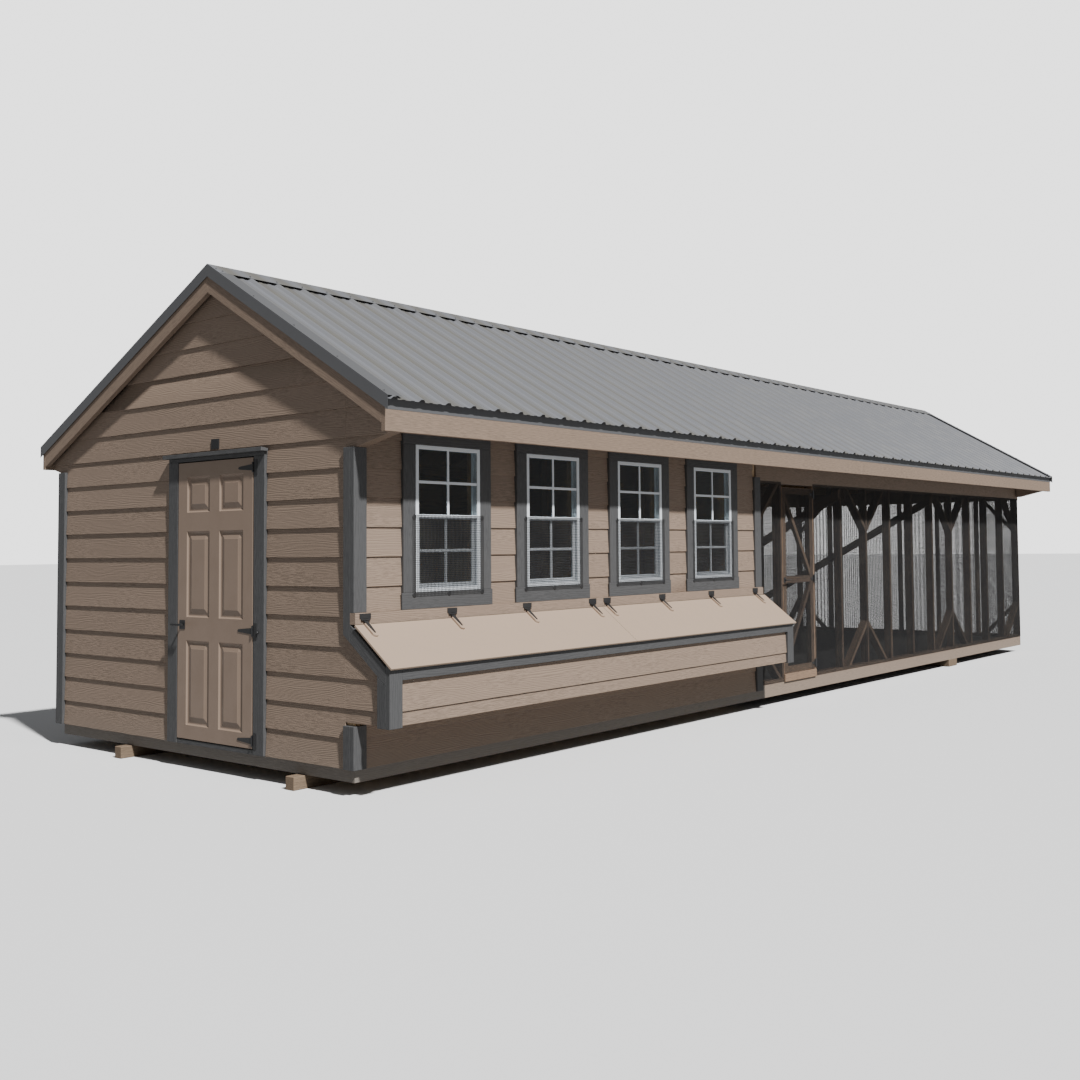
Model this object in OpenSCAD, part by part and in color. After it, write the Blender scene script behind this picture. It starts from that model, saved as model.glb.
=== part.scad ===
// Walk-in chicken coop on skids: a sided house with nest boxes at one end and a
// wire-covered run at the other, under one ribbed metal roof.
// Working frame: x = 0 at the outer face of the entry gable's studs, y = 0 at the outer
// face of the window wall's studs, z = 0 at the underside of the floor rim.

/* [Building] */
// Width over the wall studs, front to back
building_w = 3658; // [3000:1:4400]
// Length of the enclosed house, over its studs
coop_l = 4877; // [4100:1:5900]
// Length of the wire run beyond the house
run_l = 7315; // [6100:1:8800]
// Height of the front top plate's outer edge above the floor rim's underside
front_wall_h = 2552; // [2500:1:2800]
// Height of the rear top plate's outer edge
rear_wall_h = 2352; // [2330:1:2552]
// Distance of the ridge behind the front wall
ridge_y = 1501; // [1250:1:1800]
// Rise of the front roof slope per unit of run
front_pitch = 0.573; // [0.5:0.001:0.68]

/* [Lumber] */
// Thickness of framing lumber
stud_t = 38; // [32:1:45]
// Depth of framing lumber
stud_d = 89; // [76:1:100]
// Centre spacing of studs, joists and rafters
stud_pitch = 609.6; // [500:0.1:740]
// Side of the square skids
skid = 89; // [76:1:106]
// How far the skids reach past each end
skid_out = 100; // [60:1:105]
// Distance of each skid from its wall face
skid_inset = 490; // [400:1:580]
// Distance of the rear skid from the rear wall face
skid_inset_rear = 961; // [800:1:1150]
// Length of the levelling block under the run's front
block_l = 260; // [216:1:312]
// Where the levelling block starts, from the entry gable
block_x = 9555; // [9000:1:10000]
// Thickness of floor sheets
floor_t = 19; // [16:1:22]
// Height of the run's rim board
run_rim_h = 121; // [115:1:140]

/* [Cladding] */
// Thickness of wall sheathing and roof deck
panel_t = 12; // [10:1:14]
// Exposed height of one siding course
course = 193; // [170:1:225]
// Siding thickness at a board's bottom edge
lap_butt = 22; // [18:1:26]
// Siding thickness at a board's top edge
lap_top = 11; // [9:1:13]
// Thickness of trim boards
trim_t = 38; // [32:1:40]
// Width of corner trims
corner_w = 106; // [90:1:125]
// Height of the front corner trims' top
corner_top = 2146; // [2120:1:2160]
// Thickness of wire mesh sheets
mesh_t = 1; // [0.8:0.1:1.2]

/* [Roof] */
// Reach of the front eave past the wall
front_over = 453; // [380:1:540]
// Reach of the rear eave past the wall
rear_over = 251; // [215:1:300]
// Reach of the roof past the entry gable
rake_near = 109; // [105:1:130]
// Reach of the roof past the far gable
rake_far = 248; // [210:1:297]
// Setback of the fascia's face from the eave
fascia_back = 46; // [38:1:54]
// Height of the front fascia's bottom edge
fascia_z = 2219; // [2200:1:2230]
// Height of the rear fascia's bottom edge
rear_fascia_z = 2178; // [2165:1:2190]
// Depth of the rake boards, square to the slope
rake_board_d = 148; // [130:1:160]
// Width of the rake boards' edge trim on the roof
edge_flange = 120; // [100:1:144]
// Distance between roof ribs
rib_pitch = 230; // [192:1:276]
// Height of roof ribs
rib_h = 19; // [16:1:22]
// Width of each side of the ridge cap
cap_w = 165; // [140:1:198]

/* [Windows] */
// Distance between window centres
window_pitch = 1104; // [960:1:1200]
// Width of a window unit
window_w = 610; // [508:1:732]
// Height of a window unit's bottom
window_z0 = 1196; // [1190:1:1230]
// Height of a window unit
window_h = 996; // [860:1:1010]
// Face width of the window unit's frame
window_bar = 28; // [24:1:34]
// Height of the meeting rail above the unit's bottom
meeting_h = 512; // [430:1:560]
// Width of the bars between window panes
muntin = 20; // [16:1:24]
// Face width of window side trims
window_trim_w = 110; // [90:1:130]

/* [Entry door] */
// Distance of the door's hinge edge from the front wall face
door_y0 = 1021; // [900:1:1150]
// Width of the door
door_w = 914; // [762:1:1000]
// Height of the door
door_h = 2008; // [1950:1:2015]
// Height of the door's bottom edge
door_z0 = 127; // [127:1:140]
// Thickness of the door
door_t = 44; // [38:1:44]
// Gap between the door and its jambs
door_gap = 8; // [6:1:10]
// Face width of the door trims
door_trim_w = 122; // [100:1:140]
// Height of the handle's axis above the door's bottom edge
handle_h = 825; // [700:1:990]

/* [Nest boxes] */
// Reach of the nest boxes past the front wall's studs
nest_out = 390; // [340:1:450]
// Height of the nest boxes' underside
nest_z0 = 385; // [350:1:400]
// Height of the lids' hinge line
nest_hinge_z = 1037; // [1037:1:1050]
// Slope of the lids in degrees
nest_slope = 36.8; // [32:0.1:40]
// Reach of the lids past the nest boxes' face
lid_over = 22; // [18:1:26]
// Height of the lids' hinge pins over the lids
lid_pin_h = 20; // [17:1:24]
// Number of nests
nest_count = 16; // [12:1:18]

/* [Run door] */
// Distance of the run door's latch edge from the house's far studs
run_door_x = 543; // [500:1:650]
// Width of the run door
run_door_w = 622; // [560:1:700]
// Height of the run door's bottom edge
run_door_z0 = 200; // [200:1:220]
// Height of the run header's underside
run_head_z = 2100; // [2050:1:2120]
// Width of the run door's frame members
run_door_bar = 66; // [56:1:79]
// Length of the legs of the corner braces
brace_leg = 440; // [380:1:500]
// Distance between braced posts
brace_pitch = 2438.4; // [2400:0.1:2480]

/* [Pop door] */
// Distance of the pop door's opening from the front wall face
pop_y0 = 2700; // [2500:1:2900]
// Width of the pop door's opening
pop_w = 300; // [250:1:360]
// Height of the pop door's opening
pop_h = 360; // [300:1:432]
// Height of the opening's bottom above the rim's underside
pop_z0 = 166; // [160:1:190]

/* [Hidden] */
$fn = 32;

joint = 0.1;                    // taken off each face of a board, so boards stay separate
seat = 0.3;                     // gap of a moving piece over what it rests on
pin_fit = 0.05;                 // radial clearance of a pin in its knuckle
tan_paint = [0.68, 0.58, 0.50];
grey_paint = [0.33, 0.34, 0.36];
raw_wood = [0.62, 0.50, 0.36];
black_steel = [0.08, 0.08, 0.09];
roof_grey = [0.66, 0.67, 0.68];

total_l = coop_l + run_l;
coop_end = coop_l + panel_t + trim_t;      // outer face of the house's far corner trims
trim_face = panel_t + trim_t;              // reach of trim faces past the studs
rim_t = stud_t;
rim_h = stud_d;
floor_top = rim_h + floor_t;
siding_z = rim_h - 1;
plate_top = floor_top + stud_t;
run_plate_top = run_rim_h + stud_t;

// Roof lines. A line is [y, z] on the rafters' underside plus its slope.
front_cos = 1 / sqrt(1 + front_pitch * front_pitch);
front_angle = atan(front_pitch);
build_up = stud_d + panel_t;               // rafter and deck, square to the slope
ridge_top = front_wall_h + front_pitch * ridge_y + build_up / front_cos;
rear_run = building_w - ridge_y;
rear_rise = ridge_top - rear_wall_h;
// Slope whose deck meets the front deck at the ridge and whose rafters sit on the rear wall
rear_pitch = (rear_rise * rear_run
    - build_up * sqrt(rear_rise * rear_rise + rear_run * rear_run - build_up * build_up))
    / (rear_run * rear_run - build_up * build_up);
rear_cos = 1 / sqrt(1 + rear_pitch * rear_pitch);
rear_angle = atan(rear_pitch);
function front_low(y) = front_wall_h + front_pitch * y;
function rear_low(y) = rear_wall_h + rear_pitch * (building_w - y);
function roof_low(y) = min(front_low(y), rear_low(y));
peak_y = (rear_wall_h - front_wall_h + rear_pitch * building_w) / (front_pitch + rear_pitch);
rafter_v = stud_d / front_cos;
rear_rafter_v = stud_d / rear_cos;
// Top edges of the boards that carry the deck
function front_top(y) = front_low(y) + rafter_v - joint;
function rear_top(y) = rear_low(y) + rear_rafter_v - joint;
fascia_y = -front_over + fascia_back;
rear_fascia_y = building_w + rear_over - 37;
rake_out = rake_near - 10;                 // outer face of the near rake board
rake_out_far = rake_far - 2;

// Windows
window_top = window_z0 + window_h;
window_x = [for (i = [0 : 3]) coop_l / 2 + (i - 1.5) * window_pitch];
window_gap = 5;                            // rough opening round a window unit
sash_clear = 0.5;
sash_depth = 20;
sash_y = -24;
sash_bar = 30;
sill_trim_h = 113;
head_trim_h = 100;
guard_over = 30;
washer_r = 14;

// Nest boxes
nest_x0 = -panel_t;
nest_x1 = coop_end - trim_t;
nest_pitch = coop_l / nest_count;
nest_face_y = -nest_out + trim_t;          // outer face of the carcass front
nest_wall = 19;
nest_hinge_y = -trim_face - 20;
lid_t = 12;
lid_start = 20;                            // from the hinge line, down the slope
hinge_board_h = 73;
lid_length = (nest_out + lid_over + nest_hinge_y) / cos(nest_slope)
    + (lid_pin_h + lid_t) * tan(nest_slope);
function nest_top(y) = nest_hinge_z + tan(nest_slope) * (y - nest_hinge_y)
    - (lid_pin_h + lid_t + seat) / cos(nest_slope);
nest_hole_z0 = 450;
nest_hole_z1 = 835;
lid_split = coop_l / 2;
lid_hinges_left = [for (i = [0 : 3]) 30 + i * (lid_split - 145) / 3];
lid_hinges_right = [for (i = [0 : 3]) lid_split + 69 + i * (lid_split - 168) / 3];

// Entry door
door_x = -trim_face;                       // outer face of the door
opening_y0 = door_y0 - door_gap;
opening_y1 = door_y0 + door_w + door_gap;
jamb_t = 19;
door_top = door_z0 + door_h;
head_z = door_top + door_gap;
cap_z = head_z + 27;                       // underside of the drip cap
cap_h = 20;
door_axis = [door_x - 6, door_y0 - door_gap / 2];
hinge_heights = [door_z0 + 55, door_z0 + 805, door_z0 + door_h - 70];
handle_y = door_y0 + door_w - 62;
handle_z = door_z0 + handle_h;

// Run door
run_x0 = coop_l + run_door_x;              // latch edge of the door
run_x1 = run_x0 + run_door_w;              // hinge edge of the door
run_post_l = run_x0 - 5;                   // latch post's inner face
run_post_r = run_x1 + 5;                   // hinge post's inner face
run_door_top = run_head_z - 30;
run_axis = [run_x1 + 2.5, -7];
run_mid_z = (run_door_z0 + run_door_top) / 2;
run_hinges_z = [run_door_z0 + 60, run_mid_z, run_door_top - 60];

// Pop door
pop_frame_w = 60;
pop_top = pop_z0 + 2 * pop_h + 30;         // top of the guides
pop_lap = 12;                              // cover of the door past its opening

// Hinges. The pin lies on local z, the leaves on the plane local x = hinge_plane.
hinge_plane = 6;
leaf_t = 3;
knuckle_r = 5.5;
pin_r = 3;
knuckle_half = 18;                         // half length of the moving knuckle
hinge_half = 36;                           // half length of the whole knuckle

// ---------- shared shapes ----------

// Moves the working frame to the row frame: centred, standing on the skids
module place() {
    x_mid = (total_l + rake_far - rake_near) / 2;
    y_mid = (building_w + rear_over - front_over) / 2;
    translate([-x_mid, -y_mid, skid]) children();
}

// Solid between two corners, to its exact size
module exact_block(x0, x1, y0, y1, z0, z1) {
    translate([x0, y0, z0]) cube([x1 - x0, y1 - y0, z1 - z0]);
}

// Board between two corners, less the joint on every side
module block(x0, x1, y0, y1, z0, z1) {
    exact_block(x0 + joint, x1 - joint, y0 + joint, y1 - joint, z0 + joint, z1 - joint);
}

// Outline in y and z, run along x, less the joint at both ends
module prism_x(x0, x1, outline) {
    translate([x0 + joint, 0, 0]) rotate([90, 0, 90]) linear_extrude(x1 - x0 - 2 * joint)
        polygon(outline);
}

// Outline in x and z, run along y, less the joint at both ends
module prism_y(y0, y1, outline) {
    translate([0, y1 - joint, 0]) rotate([90, 0, 0]) linear_extrude(y1 - y0 - 2 * joint)
        polygon(outline);
}

// Rows of lap siding on a wall along x. The face is at y = face and looks towards dir.
module siding_x(face, dir, x0, x1, z0, z1) {
    for (k = [floor((z0 - siding_z) / course) : ceil((z1 - siding_z) / course) - 1]) {
        low = max(z0, siding_z + k * course);
        high = min(z1, siding_z + (k + 1) * course) - 2 * joint;
        prism_x(x0, x1, lap_outline(face, dir, k, low, high));
    }
}

// The same on a wall along y
module siding_y(face, dir, y0, y1, z0, z1) {
    for (k = [floor((z0 - siding_z) / course) : ceil((z1 - siding_z) / course) - 1]) {
        low = max(z0, siding_z + k * course);
        high = min(z1, siding_z + (k + 1) * course) - 2 * joint;
        prism_y(y0, y1, lap_outline(face, dir, k, low, high));
    }
}

// One board's section, thick at the bottom of its course
function lap_outline(face, dir, k, low, high) = [
    [face, low],
    [face + dir * lap_at(k, low), low],
    [face + dir * lap_at(k, high), high],
    [face, high]
];
function lap_at(k, z) = lap_butt - (lap_butt - lap_top) * (z - siding_z - k * course) / course;

// Outline of a gable between two widths, from a height up to the rafters
function gable_outline(y0, y1, z0) = [
    [y0, z0], [y1, z0], [y1, roof_low(y1)], [peak_y, roof_low(peak_y)], [y0, roof_low(y0)]
];

// Lap siding clipped to an outline in y and z
module clipped_siding(face, dir, y0, y1, z0, z1, outline) {
    for (k = [floor((z0 - siding_z) / course) : ceil((z1 - siding_z) / course) - 1]) {
        low = max(z0, siding_z + k * course);
        high = min(z1, siding_z + (k + 1) * course) - 2 * joint;
        intersection() {
            prism_y(y0, y1, lap_outline(face, dir, k, low, high));
            prism_x(min(face, face + dir * 2 * lap_butt), max(face, face + dir * 2 * lap_butt),
                outline);
        }
    }
}

// Fixed leaf of a strap hinge: the leaf reaches to -y, and the pin goes through both knuckles
module fixed_leaf(half_h, reach) {
    exact_block(hinge_plane - leaf_t, hinge_plane, -reach, -knuckle_r - 2, -half_h, half_h);
    for (z = [knuckle_half + seat, -hinge_half]) {
        long = hinge_half - knuckle_half - seat;
        exact_block(hinge_plane - leaf_t, hinge_plane, -knuckle_r - 2, 0, z, z + long);
        translate([0, 0, z]) cylinder(r = knuckle_r, h = long);
    }
    translate([0, 0, -hinge_half]) cylinder(r = pin_r, h = 2 * hinge_half);
}

// Moving strap: it tapers from its knuckle along +y
module strap(length, wide, tip) {
    difference() {
        union() {
            prism_x(hinge_plane - leaf_t, hinge_plane, [
                [0, -knuckle_half], [knuckle_r + 3, -knuckle_half], [knuckle_r + 3, -wide],
                [length, -tip], [length + tip, 0], [length, tip],
                [knuckle_r + 3, wide], [knuckle_r + 3, knuckle_half], [0, knuckle_half]
            ]);
            translate([0, 0, -knuckle_half]) cylinder(r = knuckle_r, h = 2 * knuckle_half);
        }
        translate([0, 0, -knuckle_half - 1])
            cylinder(r = pin_r + pin_fit, h = 2 * knuckle_half + 2);
    }
}

// Places a hinge's local frame at the entry door, the run door or a lid
module at_entry(z) { translate([door_axis[0], door_axis[1], z]) children(); }
module at_run(z) { translate([run_axis[0], run_axis[1], z]) rotate([0, 0, 90]) children(); }
module at_lid(x, turn) {
    translate([x, nest_hinge_y, nest_hinge_z]) rotate([turn - 90, 0, 0]) rotate([0, -90, 0])
        children();
}

// ---------- floor ----------

module skids() place() color(raw_wood) {
    for (y = [skid_inset, building_w - skid_inset_rear - skid])
        exact_block(-skid_out, total_l + skid_out, y, y + skid, -skid, 0);
    exact_block(block_x, block_x + block_l, -2, skid_inset - 10, -skid, 0);
}

module rim_boards_coop() place() color(grey_paint) {
    joint_x = coop_l + 160;
    block(0, joint_x, 0, rim_t, 0, rim_h);
    block(0, joint_x, building_w - rim_t, building_w, 0, rim_h);
    block(0, rim_t, rim_t, building_w - rim_t, 0, rim_h);
    // packers that carry the run's plates up to the run rim's height
    for (y = [0, building_w - rim_t]) block(coop_l, joint_x, y, y + rim_t, rim_h, run_rim_h);
}

module rim_boards_run() place() color(tan_paint) {
    joint_x = coop_l + 160;
    block(joint_x, total_l, 0, rim_t, 0, run_rim_h);
    block(joint_x, total_l, building_w - rim_t, building_w, 0, run_rim_h);
    block(total_l - rim_t, total_l, rim_t, building_w - rim_t, 0, run_rim_h);
}

module floor_joists() place() color(raw_wood)
    for (x = [stud_pitch : stud_pitch : total_l - stud_pitch / 2])
        block(x - stud_t / 2, x + stud_t / 2, rim_t, building_w - rim_t, 0, rim_h);

module coop_floor() place() color([0.55, 0.42, 0.28]) {
    sheet = coop_l / 4;
    for (i = [0 : 3]) block(i * sheet, (i + 1) * sheet, 0, building_w, rim_h, floor_top);
}

module run_floor() place() color([0.13, 0.13, 0.13]) {
    sheet = (run_l - rim_t) / 6;
    for (i = [0 : 5])
        block(coop_l + i * sheet, coop_l + (i + 1) * sheet, rim_t, building_w - rim_t,
            rim_h, floor_top);
}

// ---------- house walls ----------

// Top plate bevelled to the front slope
module front_top_plate(x0, x1) {
    prism_x(x0, x1, [
        [0, front_wall_h - 2 * stud_t], [stud_d, front_wall_h - 2 * stud_t],
        [stud_d, front_low(stud_d)], [0, front_wall_h]
    ]);
}

module rear_top_plate(x0, x1) {
    prism_x(x0, x1, [
        [building_w, rear_wall_h - 2 * stud_t], [building_w - stud_d, rear_wall_h - 2 * stud_t],
        [building_w - stud_d, rear_low(building_w - stud_d)], [building_w, rear_wall_h]
    ]);
}

// Upright in a wall along x, by its centre
module stud_x(x, y0, z0, z1) {
    block(x - stud_t / 2, x + stud_t / 2, y0, y0 + stud_d, z0, z1);
}

// Upright in a wall along y, cut to the roof slope
module gable_stud(x0, y, z0) {
    prism_x(x0, x0 + stud_d, [
        [y - stud_t / 2, z0], [y + stud_t / 2, z0],
        [y + stud_t / 2, roof_low(y + stud_t / 2)], [y - stud_t / 2, roof_low(y - stud_t / 2)]
    ]);
}

module front_wall_frame() place() color(raw_wood) {
    beam_top = nest_hole_z1 + stud_t;
    stud_top = front_wall_h - 2 * stud_t;
    nest_posts = [for (i = [1 : 7]) i * coop_l / 8];
    block(0, coop_l, 0, stud_d, floor_top, plate_top);
    front_top_plate(0, coop_l);
    block(0, coop_l, 0, stud_d, nest_hole_z1, beam_top);
    for (x = concat([stud_t / 2, coop_l - stud_t / 2], nest_posts))
        stud_x(x, 0, plate_top, nest_hole_z1);
    for (x = [stud_t / 2, coop_l - stud_t / 2]) stud_x(x, 0, beam_top, stud_top);
    for (x = window_x) {
        left = x - window_w / 2 - window_gap;
        right = x + window_w / 2 + window_gap;
        stud_x(left - stud_t / 2, 0, beam_top, stud_top);
        stud_x(right + stud_t / 2, 0, beam_top, stud_top);
        stud_x(x, 0, beam_top, window_z0 - stud_t - window_gap);
        block(left, right, 0, stud_d, window_z0 - stud_t - window_gap, window_z0 - window_gap);
        block(left, right, 0, stud_d, window_top + window_gap, stud_top);
    }
}

module rear_wall_frame() place() color(raw_wood) {
    y0 = building_w - stud_d;
    block(0, coop_l, y0, building_w, floor_top, plate_top);
    rear_top_plate(0, coop_l);
    for (x = concat([stud_t / 2, coop_l - stud_t / 2], [for (i = [1 : 7]) i * coop_l / 8]))
        stud_x(x, y0, plate_top, rear_wall_h - 2 * stud_t);
}

module gable_wall_frame() place() color(raw_wood) {
    rough0 = opening_y0 - jamb_t;
    rough1 = opening_y1 + jamb_t;
    block(0, stud_d, stud_d, rough0, floor_top, plate_top);
    block(0, stud_d, rough1, building_w - stud_d, floor_top, plate_top);
    for (y = [stud_d + stud_t / 2, rough0 - stud_t / 2, rough1 + stud_t / 2,
            (rough1 + building_w) / 2, building_w - stud_d - stud_t / 2])
        gable_stud(0, y, plate_top);
    block(0, stud_d, rough0, rough1, head_z + jamb_t, head_z + jamb_t + 140);
}

module partition_frame() place() color(raw_wood) {
    x0 = coop_l - stud_d;
    block(x0, coop_l, stud_d, building_w - stud_d, floor_top, plate_top);
    for (y = [stud_d + stud_t / 2, 700, 1350, 2000, pop_y0 - stud_t / 2,
            pop_y0 + pop_w + stud_t / 2, building_w - stud_d - stud_t / 2])
        gable_stud(x0, y, plate_top);
    block(x0, coop_l, pop_y0, pop_y0 + pop_w, pop_z0 + pop_h, pop_z0 + pop_h + stud_t);
    block(x0, coop_l, pop_y0, pop_y0 + pop_w, plate_top, pop_z0);
}

module sheathing() place() color([0.72, 0.6, 0.42]) {
    // window wall: three bands and the piers between the windows
    block(0, coop_l, -panel_t, 0, siding_z, nest_hole_z0);
    block(0, coop_l, -panel_t, 0, nest_hole_z1, window_z0 - window_gap);
    block(0, coop_l, -panel_t, 0, window_top + window_gap, front_low(-panel_t));
    half = window_w / 2 + window_gap;
    edges = concat([0], [for (x = window_x) each [x - half, x + half]], [coop_l]);
    for (i = [0 : 4])
        block(edges[2 * i], edges[2 * i + 1], -panel_t, 0,
            window_z0 - window_gap, window_top + window_gap);
    block(0, coop_l, building_w, building_w + panel_t, siding_z, rear_low(building_w + panel_t));
    // entry gable round the doorway
    rough0 = opening_y0 - jamb_t;
    rough1 = opening_y1 + jamb_t;
    block(-panel_t, 0, -panel_t, rough0, siding_z, head_z + jamb_t);
    block(-panel_t, 0, rough1, building_w + panel_t, siding_z, head_z + jamb_t);
    prism_x(-panel_t, 0, gable_outline(0, building_w, head_z + jamb_t));
    // partition round the pop hole
    block(coop_l, coop_l + panel_t, stud_d, pop_y0, floor_top, pop_z0 + pop_h);
    block(coop_l, coop_l + panel_t, pop_y0 + pop_w, building_w - stud_d, floor_top,
        pop_z0 + pop_h);
    block(coop_l, coop_l + panel_t, pop_y0, pop_y0 + pop_w, floor_top, pop_z0);
    prism_x(coop_l, coop_l + panel_t,
        gable_outline(stud_d, building_w - stud_d, pop_z0 + pop_h));
    // far gable above the run's header
    prism_x(total_l, total_l + panel_t, gable_outline(0, building_w, run_head_z));
}

module siding_front() place() color(tan_paint) {
    x0 = corner_w - trim_face;
    x1 = coop_end - corner_w;
    siding_x(-panel_t, -1, x0, x1, siding_z, nest_z0);
    low = window_z0 - sill_trim_h;
    high = window_top + head_trim_h;
    half = window_w / 2 + window_trim_w;
    edges = concat([x0], [for (x = window_x) each [x - half, x + half]], [x1]);
    for (i = [0 : 4]) siding_x(-panel_t, -1, edges[2 * i], edges[2 * i + 1], low, high);
    siding_x(-panel_t, -1, x0, x1, high, front_low(-panel_t - lap_butt));
}

module siding_gables() place() color(tan_paint) {
    inner = corner_w - trim_face;
    trim0 = opening_y0 - door_trim_w;
    trim1 = opening_y1 + door_trim_w;
    low_top = cap_z + cap_h;
    siding_y(-panel_t, -1, inner, trim0, siding_z, low_top);
    siding_y(-panel_t, -1, trim1, building_w - inner, siding_z, low_top);
    clipped_siding(-panel_t, -1, inner, building_w - inner, low_top, roof_low(peak_y),
        gable_outline(inner, building_w - inner, low_top));
    clipped_siding(total_l + panel_t, 1, inner, building_w - inner, run_head_z,
        roof_low(peak_y), gable_outline(inner, building_w - inner, run_head_z));
    siding_y(total_l + panel_t, 1, 0, inner, run_head_z, corner_top);
    siding_y(total_l + panel_t, 1, building_w - inner, building_w, run_head_z, corner_top);
    // over the eave returns at both gables
    for (side = [0, 1]) {
        face = side == 0 ? -panel_t : total_l + panel_t;
        dir = side == 0 ? -1 : 1;
        clipped_siding(face, dir, fascia_y + trim_t, inner, corner_top, front_wall_h,
            front_return(inner));
        clipped_siding(face, dir, building_w - inner, rear_fascia_y - trim_t, corner_top,
            rear_wall_h, rear_return(building_w - inner));
    }
}

// Sloped undersides of the eave returns, in y and z
function front_return(y1) = [
    [y1, corner_top], [-trim_face, corner_top], [fascia_y + trim_t, fascia_z],
    [fascia_y + trim_t, front_low(fascia_y + trim_t)], [y1, front_low(y1)]
];
function rear_return(y0) = [
    [y0, corner_top], [building_w + trim_face, corner_top],
    [rear_fascia_y - trim_t, rear_fascia_z],
    [rear_fascia_y - trim_t, rear_low(rear_fascia_y - trim_t)], [y0, rear_low(y0)]
];

module siding_rear() place() color(tan_paint)
    siding_x(building_w + panel_t, 1, corner_w - trim_face, coop_end - corner_w, siding_z,
        rear_low(building_w + panel_t + lap_butt));

module siding_partition() place() color(tan_paint) {
    face = coop_l + panel_t;
    y0 = stud_d;
    y1 = building_w - stud_d;
    frame0 = pop_y0 - pop_frame_w;
    frame1 = pop_y0 + pop_w + pop_frame_w;
    siding_y(face, 1, y0, frame0, floor_top, pop_top);
    siding_y(face, 1, frame1, y1, floor_top, pop_top);
    clipped_siding(face, 1, y0, y1, pop_top, roof_low(peak_y), gable_outline(y0, y1, pop_top));
}

// Upper edge of the trims down the nest boxes' sloped ends, and the trims' depth
function nest_edge(y) = nest_top(y) - 30;
nest_edge_v = 95 / cos(nest_slope);
nest_side_w = 81;
nest_rail_h = 88;

// Trims of one nest box end: a sloped board and a short upright, between two x values
module nest_end_trims(x0, x1) {
    back = -panel_t - joint;
    front = nest_face_y + joint;
    mid = nest_face_y + nest_side_w;
    under = nest_edge_v + 2 * joint;
    prism_x(x0, x1, [
        [front, nest_edge(front) - nest_edge_v], [back, nest_edge(back) - nest_edge_v],
        [back, nest_edge(back)], [front, nest_edge(front)]
    ]);
    prism_x(x0, x1, [
        [front, nest_z0 - 10], [mid, nest_z0 - 10], [mid, nest_edge(mid) - under],
        [front, nest_edge(front) - under]
    ]);
}

module corner_trims() place() color(grey_paint) {
    inner = corner_w - trim_face;
    far = coop_end - corner_w;
    nest_low = nest_z0 - 20;
    board_top = nest_hinge_z + hinge_board_h - 27;
    // window wall, broken by the nest boxes
    for (z = [[siding_z, nest_low], [board_top, corner_top]]) {
        block(-trim_face, inner, -trim_face, -panel_t, z[0], z[1]);
        block(far, coop_end, -trim_face, -panel_t, z[0], z[1]);
    }
    // side boards behind the window wall's corner boards
    block(-trim_face, -panel_t, -panel_t, inner, siding_z, nest_low);
    side_y = -panel_t + joint;
    prism_x(-trim_face, -panel_t, [
        [side_y, nest_edge(side_y) - nest_edge_v], [inner, nest_edge(inner) - nest_edge_v],
        [inner, corner_top], [side_y, corner_top]
    ]);
    block(-trim_face, -panel_t, building_w - inner, building_w + panel_t, siding_z, corner_top);
    block(coop_l + panel_t, coop_end, -panel_t, 0, run_rim_h, corner_top);
    block(coop_l + panel_t, coop_end, building_w, building_w + panel_t, run_rim_h, corner_top);
    // rear wall
    block(-trim_face, inner, building_w + panel_t, building_w + trim_face, siding_z, corner_top);
    block(far, coop_end, building_w + panel_t, building_w + trim_face, siding_z, corner_top);
    // nest boxes: corner boards, the rail under the lids and the end trims
    face = -nest_out;
    for (x = [[-trim_face, inner], [far, coop_end]])
        prism_x(x[0], x[1], [
            [face, nest_z0 - 10], [nest_face_y, nest_z0 - 10], [nest_face_y, nest_top(nest_face_y)],
            [face, nest_top(face)]
        ]);
    prism_x(inner, far, [
        [face, nest_top(face) - nest_rail_h], [nest_face_y, nest_top(face) - nest_rail_h],
        [nest_face_y, nest_top(nest_face_y)], [face, nest_top(face)]
    ]);
    nest_end_trims(-trim_face, -panel_t);
    nest_end_trims(nest_x1, coop_end);
}

// ---------- run ----------

run_studs = [for (k = [0 : floor(run_l / stud_pitch)]) total_l - k * stud_pitch];   // right faces
brace_half = stud_t / sqrt(2);
// How many stud spaces from the far end stay clear of the run door's hinge post by a reach
function clear_spaces(reach) = floor((total_l - run_post_r - stud_t - reach) / stud_pitch);
braced = [
    total_l, total_l - brace_pitch,
    total_l - min(2 * brace_pitch, stud_pitch * clear_spaces(stud_t + brace_leg + brace_half))
];

// Corner brace at 45 degrees in a wall along x. side is 1 to the right of the post's face.
module brace_x(face, side, y0, z, up, leg) {
    end = up * leg;
    prism_y(y0, y0 + stud_d, [
        [face, z - end - up * brace_half], [face, z - end + up * brace_half],
        [face + side * (leg - brace_half), z], [face + side * (leg + brace_half), z]
    ]);
}

module run_wall_braces(y0, top) {
    for (x = braced) {
        brace_x(x - stud_t, -1, y0, top, 1, brace_leg);
        brace_x(x - stud_t, -1, y0, run_plate_top, -1, brace_leg);
        if (x < total_l - 1) {
            brace_x(x, 1, y0, top, 1, brace_leg);
            brace_x(x, 1, y0, run_plate_top, -1, brace_leg);
        }
    }
}

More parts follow.
